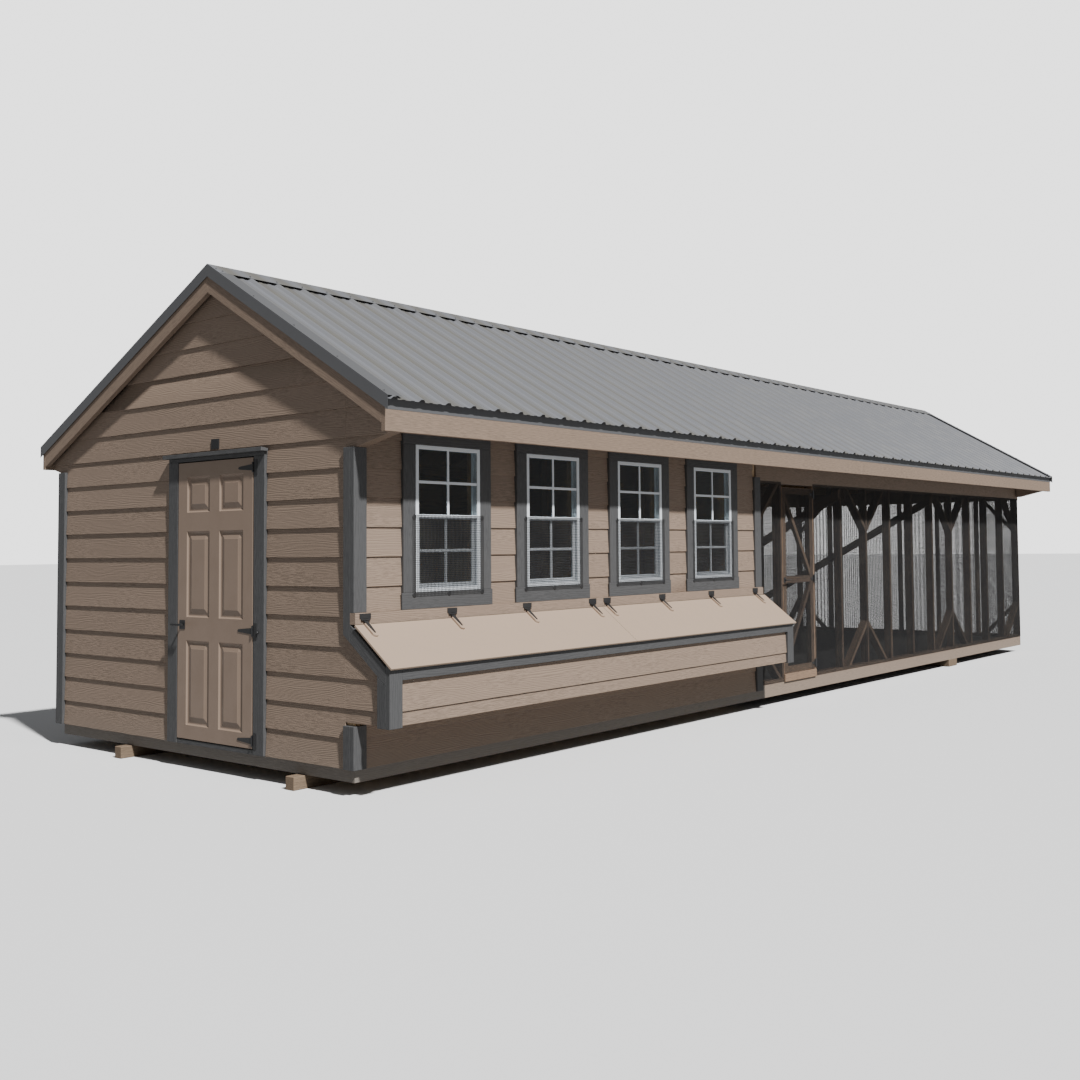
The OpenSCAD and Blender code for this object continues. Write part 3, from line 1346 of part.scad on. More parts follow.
skids();
rim_boards_coop();
rim_boards_run();
floor_joists();
coop_floor();
run_floor();
front_wall_frame();
rear_wall_frame();
gable_wall_frame();
partition_frame();
sheathing();
siding_front();
siding_gables();
siding_rear();
siding_partition();
corner_trims();
run_front_frame();
run_rear_frame();
run_headers();
wire_mesh();
sway_braces();
rafters();
ridge_board();
eave_boards();
rake_boards();
roof_deck();
roof_panels_front();
roof_panels_rear();
ridge_cap();
roof_edge_trim();
window_trims();
window_frames();
fixed_glass();
sash(0);  // sash_1
sash(1);  // sash_2
sash(2);  // sash_3
sash(3);  // sash_4
sash_glass(0);  // sash_glass_1
sash_glass(1);  // sash_glass_2
sash_glass(2);  // sash_glass_3
sash_glass(3);  // sash_glass_4
door_trim();
door_jamb();
entry_door();
entry_straps();
entry_handle();
hinge_plates();
nest_box();
nest_cladding();
nest_lid_left();
nest_lid_right();
nest_straps_left();
nest_straps_right();
run_door();
run_door_mesh();
run_straps();
run_handle();
pop_door();
pop_guides();
roost_bars();
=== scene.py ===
"""Walk-in chicken coop on skids: a sided house with nest boxes and a wire run under one metal roof.

Every length is in metres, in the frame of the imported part.
"""

import logging
import math
from dataclasses import dataclass, field
from enum import Enum

import bmesh
import bpy
import numpy as np
from mathutils import Matrix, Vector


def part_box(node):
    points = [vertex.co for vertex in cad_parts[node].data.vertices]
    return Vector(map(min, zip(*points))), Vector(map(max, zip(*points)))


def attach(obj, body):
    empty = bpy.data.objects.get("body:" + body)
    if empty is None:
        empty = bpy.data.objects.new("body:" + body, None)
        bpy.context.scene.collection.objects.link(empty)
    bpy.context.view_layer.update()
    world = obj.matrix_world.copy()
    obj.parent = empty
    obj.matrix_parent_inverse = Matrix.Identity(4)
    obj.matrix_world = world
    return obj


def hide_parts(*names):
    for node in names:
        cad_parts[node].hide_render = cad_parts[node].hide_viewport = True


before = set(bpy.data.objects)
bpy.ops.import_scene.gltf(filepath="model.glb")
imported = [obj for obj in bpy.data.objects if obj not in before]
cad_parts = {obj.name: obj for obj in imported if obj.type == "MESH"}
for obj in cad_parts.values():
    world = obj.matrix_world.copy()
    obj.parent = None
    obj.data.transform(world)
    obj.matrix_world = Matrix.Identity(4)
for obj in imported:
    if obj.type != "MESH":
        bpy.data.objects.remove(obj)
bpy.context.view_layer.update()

HOUSE = "building"
MM = 0.001
TURN = 2 * math.pi
WELD = 0.01 * MM
FLAT = math.radians(0.5)
EASE_FROM = math.radians(35)
ALONG = np.array([1.0, 0, 0])
MIX_FIRST, MIX_SECOND, MIX_RESULT = 6, 7, 2
LAYER_SHARE = 0.8
log = logging.getLogger("coop")
Colour = tuple[float, float, float]


# ---------- shader maths ----------


class Wire:
    """A value in a shader. Python's operators on it add the matching Math nodes."""

    def __init__(self, nodes: "Nodes", socket: bpy.types.NodeSocket) -> None:
        """Wraps an output socket of a node tree."""
        self.nodes = nodes
        self.socket = socket

    def maths(self, operation: str, *terms: "Wire | float") -> "Wire":
        """Adds one Math node.

        Args:
            operation: the node's operation, such as "ADD".
            terms: its inputs in order.

        Returns:
            The node's result.
        """
        made = self.nodes.node("ShaderNodeMath", {"operation": operation}, dict(enumerate(terms)))
        return Wire(self.nodes, made.outputs[0])

    def __add__(self, other: "Wire | float") -> "Wire":
        """Sum."""
        return self.maths("ADD", self, other)

    def __radd__(self, other: float) -> "Wire":
        """Sum with a number first."""
        return self.maths("ADD", other, self)

    def __sub__(self, other: "Wire | float") -> "Wire":
        """Difference."""
        return self.maths("SUBTRACT", self, other)

    def __rsub__(self, other: float) -> "Wire":
        """Difference from a number."""
        return self.maths("SUBTRACT", other, self)

    def __mul__(self, other: "Wire | float") -> "Wire":
        """Product."""
        return self.maths("MULTIPLY", self, other)

    def __rmul__(self, other: float) -> "Wire":
        """Product with a number first."""
        return self.maths("MULTIPLY", other, self)

    def sine(self) -> "Wire":
        """Sine of the value in radians, moved to run from 0 to 1."""
        return self.maths("SINE", self) * 0.5 + 0.5

    def ramp(self, low: float, high: float) -> "Wire":
        """Smooth step from 0 at low to 1 at high.

        Args:
            low: the value that gives 0.
            high: the value that gives 1.

        Returns:
            The stepped value.
        """
        made = self.nodes.node(
            "ShaderNodeMapRange",
            {"interpolation_type": "SMOOTHSTEP"},
            {"Value": self, "From Min": low, "From Max": high},
        )
        return Wire(self.nodes, made.outputs["Result"])


class Nodes:
    """The node tree of a material or of the world, emptied to start with."""

    def __init__(self, owner: bpy.types.Material | bpy.types.World) -> None:
        """Turns the owner's nodes on and clears them."""
        owner.use_nodes = True
        self.tree = owner.node_tree
        self.tree.nodes.clear()

    def node(
        self, kind: str, settings: dict | None = None, values: dict | None = None
    ) -> bpy.types.Node:
        """Adds a node.

        Args:
            kind: Blender's name of the node type.
            settings: properties, set first.
            values: numbers, colours or Wires by input name or index.

        Returns:
            The node.
        """
        made = self.tree.nodes.new(kind)
        for name, value in (settings or {}).items():
            setattr(made, name, value)
        for name, value in (values or {}).items():
            if isinstance(value, Wire):
                self.tree.links.new(value.socket, made.inputs[name])
            else:
                made.inputs[name].default_value = value
        return made

    def wire(self, node: bpy.types.Node, output: str | int = 0) -> Wire:
        """Wraps one output of a node."""
        return Wire(self, node.outputs[output])


class Recipe(Nodes):
    """One material and the nodes that make it."""

    def __init__(self, name: str) -> None:
        """Starts an empty material of that name."""
        self.material = bpy.data.materials.new(name)
        super().__init__(self.material)

    def stretched(self, vector: Wire, scale: Colour) -> Wire:
        """Scales coordinates by three numbers."""
        return self.wire(self.node("ShaderNodeMapping", None, {"Vector": vector, "Scale": scale}))

    def noise(self, vector: Wire, scale: float, detail: float = 2.0, rough: float = 0.5) -> Wire:
        """Noise from 0 to 1.

        Args:
            vector: where it is read.
            scale: blobs per metre.
            detail: octaves.
            rough: weight of the finer octaves.

        Returns:
            The noise value.
        """
        made = self.node(
            "ShaderNodeTexNoise",
            None,
            {"Vector": vector, "Scale": scale, "Detail": detail, "Roughness": rough},
        )
        return self.wire(made, "Fac")

    def mix(self, share: Wire | float, first: Wire | Colour, second: Wire | Colour) -> Wire:
        """Blends two colours.

        Args:
            share: 0 for the first, 1 for the second.
            first: a colour or a Wire.
            second: a colour or a Wire.

        Returns:
            The blended colour.
        """
        ends = [c if isinstance(c, Wire) else (*c, 1.0) for c in (first, second)]
        values = {0: share, MIX_FIRST: ends[0], MIX_SECOND: ends[1]}
        return self.wire(self.node("ShaderNodeMix", {"data_type": "RGBA"}, values), MIX_RESULT)

    def object_place(self) -> Wire:
        """Object coordinates, in metres."""
        return self.wire(self.node("ShaderNodeTexCoord"), "Object")

    def attribute(self, name: str, output: str) -> Wire:
        """An attribute of the mesh."""
        return self.wire(self.node("ShaderNodeAttribute", {"attribute_name": name}), output)

    def part(self, vector: Wire, axis: str) -> Wire:
        """The X, Y or Z part of a vector."""
        return self.wire(self.node("ShaderNodeSeparateXYZ", None, {"Vector": vector}), axis)

    def bump(self, height: Wire, depth: float) -> Wire:
        """Normal bent by a height.

        Args:
            height: 0 in the grooves, 1 on top.
            depth: the real height in metres.

        Returns:
            The normal.
        """
        values = {"Height": height, "Distance": depth, "Strength": 1.0}
        return self.wire(self.node("ShaderNodeBump", None, values))

    def close(self, values: dict) -> bpy.types.Material:
        """Ends the material with a Principled shader.

        Args:
            values: the shader's inputs.

        Returns:
            The finished material.
        """
        shader = self.node("ShaderNodeBsdfPrincipled", None, values)
        self.node("ShaderNodeOutputMaterial", None, {"Surface": self.wire(shader)})
        return self.material


# ---------- finishes ----------


class Splash(Enum):
    """How dirty a surface gets close to the ground."""

    CLEAN = 0.0
    DUSTY = 0.35
    MUDDY = 0.7


# Cells per metre along, across and through a board, and the heights that splashes reach.
BOW_CELLS = (1.4, 9.0, 9.0)
STROKE_CELLS = (16.0, 190.0, 190.0)
PATCH_CELLS = (1.6, 6.0, 6.0)
SPLASH_LOW, SPLASH_HIGH = 0.12, 0.55
MUD: Colour = (0.24, 0.20, 0.16)


@dataclass(frozen=True)
class BoardFinish:
    """A wooden board, painted or bare. Its grain runs along the board attribute's x: depth is
    the grain's height, rings their number a metre, bend how far they bow, swirl the share of
    them in patches, and shift how far boards differ in lightness. The second colour fills the
    grain's hollows: on bare wood it is the grain's own colour, on painted boards painted shade."""

    name: str
    colour: Colour
    grain_and_groove_shade: Colour
    depth: float = 0.6 * MM
    rings: float = 85.0
    bend: float = 7.0
    swirl: float = 0.5
    shift: float = 0.10
    roughness: float = 0.62
    splash: Splash = Splash.CLEAN

    def material(self) -> bpy.types.Material:
        """Grain of fine strokes, with patches of bowed rings, darker hollows that are painted shade
        on painted boards, a lightness of its own for each board, slow blotches, and mud towards
        the ground.

        Returns:
            The finished material.
        """
        r = Recipe(self.name)
        board = r.attribute("board", "Vector")
        across = r.part(board, "Y") + r.part(board, "Z")
        bow = r.noise(r.stretched(board, BOW_CELLS), 1.0, 2.0, 0.45)
        rings = ((across * self.rings + bow * self.bend) * TURN).sine()
        strokes = r.noise(r.stretched(board, STROKE_CELLS), 1.0, 3.0, 0.6)
        patch = r.noise(r.stretched(board, PATCH_CELLS), 1.0).ramp(0.4, 0.58) * self.swirl
        grain = strokes.ramp(0.3, 0.7) * (1 - patch) + rings * patch
        tone = r.attribute("tone", "Fac")
        place = r.object_place()
        blotch = r.noise(place, 1.7, 3.0) - 0.5
        # Painted shade: the grain's hollows blend towards the darker second colour; on painted
        # boards this stands for shade in the embossing, on bare wood it is the grain's own colour.
        share = grain * 0.75 + 0.25 + tone * self.shift + blotch * (1.6 * self.shift)
        colour = r.mix(share.ramp(0.0, 1.0), self.grain_and_groove_shade, self.colour)
        height = r.part(place, "Z") + r.noise(place, 9.0, 3.0) * 0.12
        dirt = (1 - height.ramp(SPLASH_LOW, SPLASH_HIGH)) * self.splash.value
        colour = r.mix(dirt * 0.6, colour, MUD)
        return r.close(
            {
                "Base Color": colour,
                "Roughness": grain * -0.12 + (self.roughness + 0.06),
                "Normal": r.bump(grain, self.depth),
            }
        )


@dataclass(frozen=True)
class SmoothFinish:
    """Smooth paint, moulded plastic, rubber or sheet metal. Its peel has cell cells a metre and
    is depth high, its slow waves are wave high, and streak is the share of dust. The second
    colour is the one that dust takes, and the one that painted shade stripes take. A stripe pitch
    is the spacing along x of those painted shade stripes, which stand for the shading of a
    ribbed roof's profile between its ribs."""

    name: str
    colour: Colour
    shade: Colour
    roughness: float = 0.4
    metallic: float = 0.0
    cell: float = 260.0
    depth: float = 0.05 * MM
    wave: float = 0.0
    streak: float = 0.35
    shade_stripe_pitch: float = 0.0

    def material(self) -> bpy.types.Material:
        """Fine orange peel, slow waves, faint dust that gathers in blotches, and painted shade
        stripes along x where a stripe pitch is given.

        Returns:
            The finished material.
        """
        r = Recipe(self.name)
        place = r.object_place()
        peel = r.noise(place, self.cell, 2.0)
        slow = r.noise(r.stretched(place, (1.0, 0.6, 0.6)), 2.4, 2.0)
        dust = r.noise(place, 5.0, 5.0, 0.62).ramp(0.35, 0.75)
        share = dust * self.streak
        # Painted shade: stripes of the second colour along x at the ribs' spacing, standing for the
        # shading of a ribbed sheet's profile.
        if self.shade_stripe_pitch:
            share = share + (r.part(place, "X") * (TURN / self.shade_stripe_pitch)).sine() * 0.85
        colour = r.mix(share, self.colour, self.shade)
        height = peel * self.depth + slow * self.wave
        return r.close(
            {
                "Base Color": colour,
                "Roughness": dust * 0.14 + self.roughness,
                "Metallic": self.metallic,
                "Normal": r.bump(height, 1.0),
            }
        )


@dataclass(frozen=True)
class GlassFinish:
    """Clear window glass with a little dust."""

    name: str
    tint: Colour = (0.82, 0.88, 0.9)

    def material(self) -> bpy.types.Material:
        """Clear glass whose roughness rises a little in dusty patches.

        Returns:
            The finished material.
        """
        r = Recipe(self.name)
        dust = r.noise(r.object_place(), 7.0, 4.0).ramp(0.4, 0.8)
        return r.close(
            {
                "Base Color": (*self.tint, 1.0),
                "Roughness": dust * 0.05 + 0.015,
                "Transmission Weight": 1.0,
                "IOR": 1.45,
            }
        )


# Painted boards: their second colour is painted shade in the grain's hollows.
SIDING = BoardFinish(
    "clay_siding",
    (0.255, 0.187, 0.140),
    (0.155, 0.111, 0.081),
    1.1 * MM,
    rings=95.0,
    swirl=0.8,
    splash=Splash.DUSTY,
)
CLAY_TRIM = BoardFinish(
    "clay_trim", (0.235, 0.17, 0.125), (0.15, 0.107, 0.078), 0.4 * MM, swirl=0.4
)
CLAY_RIM = BoardFinish("clay_rim", (0.24, 0.175, 0.13), (0.15, 0.107, 0.078), splash=Splash.MUDDY)
GREY_TRIM = BoardFinish(
    "grey_trim", (0.069, 0.069, 0.07), (0.042, 0.042, 0.043), 0.5 * MM, rings=70.0
)
GREY_RIM = BoardFinish("grey_rim", (0.15, 0.14, 0.13), (0.085, 0.079, 0.073), splash=Splash.MUDDY)
STAINED = BoardFinish(
    "stained_lumber",
    (0.22, 0.145, 0.095),
    (0.07, 0.044, 0.03),
    0.8 * MM,
    rings=60.0,
    bend=5.0,
    swirl=0.6,
    shift=0.3,
    roughness=0.75,
)
FRAMING = BoardFinish(
    "framing", (0.50, 0.34, 0.19), (0.33, 0.20, 0.10), 0.3 * MM, 60.0, 5.0, 0.6, 0.2
)
TREATED = BoardFinish(
    "treated_lumber",
    (0.19, 0.135, 0.088),
    (0.10, 0.07, 0.045),
    0.6 * MM,
    rings=55.0,
    bend=5.0,
    swirl=0.6,
    shift=0.2,
    roughness=0.8,
)
PANEL = BoardFinish("panel", (0.52, 0.37, 0.21), (0.36, 0.24, 0.13), 0.4 * MM, 30.0, 6.0, 0.7, 0.2)
ROOST = BoardFinish("roost", (0.52, 0.36, 0.20), (0.34, 0.21, 0.11), 0.3 * MM, 60.0, 5.0, 0.6, 0.2)
LID = SmoothFinish(
    "lid_paint", (0.33, 0.245, 0.18), (0.285, 0.208, 0.152), 0.5, cell=90.0, depth=0.08 * MM
)
DOOR = SmoothFinish(
    "door_paint", (0.235, 0.17, 0.127), (0.195, 0.14, 0.104), 0.42, depth=0.06 * MM
)
VINYL = SmoothFinish("window_vinyl", (0.72, 0.76, 0.80), (0.62, 0.66, 0.69), 0.32)
# The roof's stripes are painted shade at the ribs' pitch; its second colour serves both them and
# dust.
ROOF = SmoothFinish(
    "roof_metal",
    (0.2, 0.205, 0.222),
    (0.158, 0.152, 0.137),
    roughness=0.36,
    metallic=0.35,
    cell=30.0,
    depth=0.02 * MM,
    wave=1.2 * MM,
    streak=0.3,
    shade_stripe_pitch=230 * MM,
)
EDGE = SmoothFinish(
    "edge_metal", (0.11, 0.111, 0.115), (0.085, 0.085, 0.088), 0.4, 0.2, wave=0.6 * MM
)
BLACK = SmoothFinish("black_iron", (0.014, 0.014, 0.015), (0.035, 0.033, 0.03), 0.38, cell=700.0)
WIRE = SmoothFinish("wire_coat", (0.020, 0.020, 0.021), (0.05, 0.047, 0.04), 0.5)
MAT = SmoothFinish(
    "floor_mat", (0.022, 0.022, 0.022), (0.06, 0.052, 0.042), 0.85, cell=120.0, depth=0.4 * MM
)
GLASS = GlassFinish("window_glass")

_materials: dict[str, bpy.types.Material] = {}
Finish = BoardFinish | SmoothFinish | GlassFinish


def coat(obj: bpy.types.Object, finish: Finish) -> None:
    """Puts a finish on every face of a piece, and makes its material once.

    Args:
        obj: the piece.
        finish: what it is coated with.
    """
    if finish.name not in _materials:
        _materials[finish.name] = finish.material()
    obj.data.materials.clear()
    obj.data.materials.append(_materials[finish.name])


# ---------- shapes ----------


@dataclass
class Surface:
    """Points and faces of a shape, which starts empty."""

    points: np.ndarray = field(default_factory=lambda: np.zeros((0, 3)))
    faces: list[np.ndarray] = field(default_factory=list)

    def joined(self, other: "Surface") -> "Surface":
        """This shape and another, as one."""
        moved = [f + len(self.points) for f in other.faces]
        return Surface(np.vstack([self.points, other.points]), [*self.faces, *moved])


def ring_faces(rings: int, count: int, wrap: bool) -> np.ndarray:
    """Quads between rings of points that follow each other.

    Args:
        rings: how many rings.
        count: points in each.
        wrap: True if the last point of a ring joins its first.

    Returns:
        Index rows of four.
    """
    steps = count if wrap else count - 1
    i, j = np.meshgrid(np.arange(rings - 1), np.arange(steps), indexing="ij")
    here, there = i * count, (i + 1) * count
    k = (j + 1) % count
    return np.stack([here + j, here + k, there + k, there + j], -1).reshape(-1, 4)


def turned(profile: np.ndarray, segments: int = 24) -> Surface:
    """A turned shape: each (radius, height) of the profile goes round the z axis.

    Args:
        profile: rows of radius and height, from bottom to top.
        segments: points around.

    Returns:
        The closed shape.
    """
    angle = np.arange(segments) * (TURN / segments)
    circle = np.stack([np.cos(angle), np.sin(angle)], -1)
    level = profile[:, None, :1] * circle[None]
    upright = np.broadcast_to(profile[:, None, 1:], (len(profile), segments, 1))
    points = np.concatenate([level, upright], -1).reshape(-1, 3)
    last = (len(profile) - 1) * segments
    caps = [np.arange(segments)[::-1][None], (np.arange(segments) + last)[None]]
    return Surface(points, [ring_faces(len(profile), segments, True), *caps])


def repeated(unit: Surface, places: np.ndarray, turn: np.ndarray | None = None) -> Surface:
    """Copies of a small shape: each point is turned, then moved to each place.

    Args:
        unit: the shape.
        places: rows of positions.
        turn: a 3 by 3 rotation, or none.

    Returns:
        All copies as one shape.
    """
    points = unit.points if turn is None else unit.points @ turn.T
    every = (places[:, None] + points[None]).reshape(-1, 3)
    step = len(points) * np.arange(len(places))[:, None, None]
    return Surface(every, [(f[None] + step).reshape(-1, f.shape[1]) for f in unit.faces])


CORNERS = np.array([[x, y, z] for z in (-1, 1) for y in (-1, 1) for x in (-1, 1)], float)
BOX_FACES = np.array(
    [[0, 2, 3, 1], [4, 5, 7, 6], [0, 1, 5, 4], [2, 6, 7, 3], [0, 4, 6, 2], [1, 3, 7, 5]]
)


def bars(centres: np.ndarray, halves: np.ndarray) -> Surface:
    """Straight square bars: each corner is its centre plus or minus the half sizes.

    Args:
        centres: rows of positions.
        halves: rows of half sizes.

    Returns:
        The bars as one shape.
    """
    points = (centres[:, None] + CORNERS[None] * halves[:, None]).reshape(-1, 3)
    starts = len(CORNERS) * np.arange(len(centres))[:, None, None]
    return Surface(points, [(BOX_FACES[None] + starts).reshape(-1, 4)])


def cloth(low: np.ndarray, high: np.ndarray, pitch: float, radius: float) -> Surface:
    """Square-mesh wire cloth that fills a thin upright box: one layer of upright wires and one
    of level wires, an equal step apart. The layers stand LAYER_SHARE radii off the middle.

    Args:
        low: the box's lowest corner.
        high: its highest corner.
        pitch: distance between wires.
        radius: half a wire's thickness.

    Returns:
        The wires as one shape.
    """
    size = high - low
    thin = int(np.argmin(size))
    flat = 1 - thin
    middle = (low + high) / 2
    shape = Surface()
    for along, across, side in ((2, flat, -1), (flat, 2, 1)):
        count = int(size[across] / pitch) + 1
        step = np.arange(count) * (size[across] - 2 * radius) / (count - 1)
        centres = np.tile(middle, (count, 1))
        centres[:, across] = low[across] + radius + step
        centres[:, thin] += side * radius * LAYER_SHARE
        halves = np.full((count, 3), radius)
        halves[:, along] = size[along] / 2
        shape = shape.joined(bars(centres, halves))
    return shape


def parts_of(points: np.ndarray, edges: np.ndarray) -> np.ndarray:
    """Numbers the separate solids of a mesh: every point takes its neighbours' lowest number
    until nothing changes.

    Args:
        points: the mesh's points.
        edges: index pairs.

    Returns:
        One number a point, from 0 up.
    """
    label = np.arange(len(points))
    while True:
        low = np.minimum(label[edges[:, 0]], label[edges[:, 1]])
        new = label.copy()
        np.minimum.at(new, edges[:, 0], low)
        np.minimum.at(new, edges[:, 1], low)
        new = new[new]
        if np.array_equal(new, label):
            return np.unique(label, return_inverse=True)[1]
        label = new


def mesh_arrays(mesh: bpy.types.Mesh) -> tuple[np.ndarray, np.ndarray]:
    """A mesh's points and edges as arrays.

    Args:
        mesh: the mesh.

    Returns:
        Rows of positions, and rows of two indices.
    """
    points = np.zeros(len(mesh.vertices) * 3, np.float32)
    edges = np.zeros(len(mesh.edges) * 2, np.int32)
    mesh.vertices.foreach_get("co", points)
    mesh.edges.foreach_get("vertices", edges)
    return points.reshape(-1, 3).astype(float), edges.reshape(-1, 2)


def merged_mesh(node: str) -> bpy.types.Mesh:
    """A copy of a CAD node's mesh with its loose triangles merged into whole faces.

    Args:
        node: the CAD node.

    Returns:
        The new mesh.
    """
    work = bmesh.new()
    work.from_mesh(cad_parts[node].data)
    bmesh.ops.remove_doubles(work, verts=work.verts, dist=WELD)
    bmesh.ops.dissolve_limit(work, angle_limit=FLAT, verts=work.verts, edges=work.edges)
    mesh = bpy.data.meshes.new(node + "_merged")
    work.to_mesh(mesh)
    work.free()
    return mesh


def solid_boxes(node: str) -> list[tuple[np.ndarray, np.ndarray]]:
    """The box of each solid of a CAD node.

    Args:
        node: the CAD node.

    Returns:
        Pairs of a lowest and a highest corner.
    """
    points, edges = mesh_arrays(merged_mesh(node))
    label = parts_of(points, edges)
    solids = [points[label == k] for k in range(label.max() + 1)]
    return [(solid.min(0), solid.max(0)) for solid in solids]


def add_piece(
    name: str,
    surface: Surface,
    finish: Finish,
    body: str = HOUSE,
    smooth: bool = False,
    stands_for: tuple[str, ...] = (),
) -> bpy.types.Object:
    """Makes a new piece from a shape in place.

    Args:
        name: the piece's name.
        surface: its points and faces.
        finish: what it is coated with.
        body: the body it moves with.
        smooth: True for smooth shading.
        stands_for: CAD nodes it replaces.

    Returns:
        The piece.
    """
    mesh = bpy.data.meshes.new(name)
    faces = [row for f in surface.faces for row in f.tolist()]
    mesh.from_pydata(surface.points.tolist(), [], faces)
    work = bmesh.new()
    work.from_mesh(mesh)
    bmesh.ops.recalc_face_normals(work, faces=work.faces)
    work.to_mesh(mesh)
    work.free()
    mesh.polygons.foreach_set("use_smooth", np.full(len(mesh.polygons), smooth))
    obj = bpy.data.objects.new(name, mesh)
    bpy.context.scene.collection.objects.link(obj)
    return settle(obj, finish, body, stands_for)


def settle(
    obj: bpy.types.Object, finish: Finish, body: str, stands_for: tuple[str, ...]
) -> bpy.types.Object:
    """Coats a piece, hangs it on its body and hides the CAD nodes it replaces.

    Args:
        obj: the piece.
        finish: what it is coated with.
        body: the body it moves with.
        stands_for: CAD nodes it replaces.

    Returns:
        The same piece.
    """
    coat(obj, finish)
    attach(obj, body)
    if stands_for:
        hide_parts(*stands_for)
    log.info("%s: %d faces, on %s", obj.name, len(obj.data.polygons), body)
    return obj


@dataclass(frozen=True)
class Boards:
    """The boards of one CAD node, with eased edges and grain along each board. Each board's
    grain is read from a place of its own, up to spread metres away."""

    node: str
    piece: str
    finish: Finish
    slot: str
    body: str = HOUSE
    edge: float = 1.5 * MM
    seed: int = 7
    spread: float = 30.0

    def build(self) -> bpy.types.Object:
        """Copies the node's boards and writes two attributes: "board" is the place along,
        across and through each board, from its main directions, and "tone" is its lightness.

        Returns:
            The piece.
        """
        mesh = merged_mesh(self.node)
        points, edges = mesh_arrays(mesh)
        label = parts_of(points, edges)
        rng = np.random.default_rng(self.seed)
        board = np.zeros_like(points)
        tone = np.zeros(len(points))
        for k in range(label.max() + 1):
            own = label == k
            centred = points[own] - points[own].mean(0)
            axes = np.linalg.eigh(centred.T @ centred)[1][:, ::-1]
            board[own] = centred @ axes + rng.uniform(0, self.spread, 3)
            tone[own] = rng.uniform(-1, 1)
        for name, kind, key, values in (
            ("board", "FLOAT_VECTOR", "vector", board),
            ("tone", "FLOAT", "value", tone),
        ):
            layer = mesh.attributes.new(name, kind, "POINT")
            layer.data.foreach_set(key, values.astype(np.float32).ravel())
        mesh.name = self.piece
        obj = bpy.data.objects.new(self.piece, mesh)
        bpy.context.scene.collection.objects.link(obj)
        if self.edge > 0:
            ease = obj.modifiers.new("eased_edges", "BEVEL")
            ease.width = self.edge
            ease.segments = 1
            ease.limit_method = "ANGLE"
            ease.angle_limit = EASE_FROM
        return settle(obj, self.finish, self.body, (self.node,))


def keep_node(node: str, finish: Finish) -> None:
    """Leaves a CAD node showing, in a finish of its own."""
    coat(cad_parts[node], finish)
    log.info("%s: kept as it is", node)


# ---------- the building's sub-assemblies ----------


@dataclass
class Floor:
    """Skids, rims, joists and floor sheets."""

    rows: tuple[Boards, ...] = (
        Boards("skids", "square_skids", TREATED, "treated_lumber", edge=3 * MM),
        Boards("rim_boards_coop", "house_rim", GREY_RIM, "grey_trim"),
        Boards("rim_boards_run", "run_rim", CLAY_RIM, "clay_siding"),
        Boards("floor_joists", "joists", TREATED, "framing_lumber"),
        Boards("coop_floor", "house_floor", PANEL, "sheathing_board"),
    )

    def build(self) -> None:
        """Dresses the floor's boards and the run's matted floor."""
        for row in self.rows:
            row.build()
        keep_node("run_floor", MAT)


@dataclass
class Walls:
    """Framing, sheathing, lap siding and corner trims of the house."""

    rows: tuple[Boards, ...] = (
        Boards("front_wall_frame", "front_framing", FRAMING, "framing_lumber"),
        Boards("rear_wall_frame", "rear_framing", FRAMING, "framing_lumber"),
        Boards("gable_wall_frame", "gable_framing", FRAMING, "framing_lumber"),
        Boards("partition_frame", "partition_framing", FRAMING, "framing_lumber"),
        Boards("sheathing", "wall_sheathing", PANEL, "sheathing_board", edge=0),
        Boards("siding_front", "front_siding", SIDING, "clay_siding"),
        Boards("siding_gables", "gable_siding", SIDING, "clay_siding"),
        Boards("siding_rear", "rear_siding", SIDING, "clay_siding"),
        Boards("siding_partition", "partition_siding", SIDING, "clay_siding"),
        Boards("corner_trims", "corner_boards", GREY_TRIM, "grey_trim", edge=2 * MM),
        Boards("roost_bars", "roosts", ROOST, "roost_wood", edge=3 * MM),
        Boards("pop_guides", "pop_door_frame", GREY_TRIM, "grey_trim"),
        Boards("pop_door", "pop_door_board", GREY_TRIM, "door_paint", "pop_door"),
    )

    def build(self) -> None:
        """Dresses every wall board."""
        for row in self.rows:
            row.build()


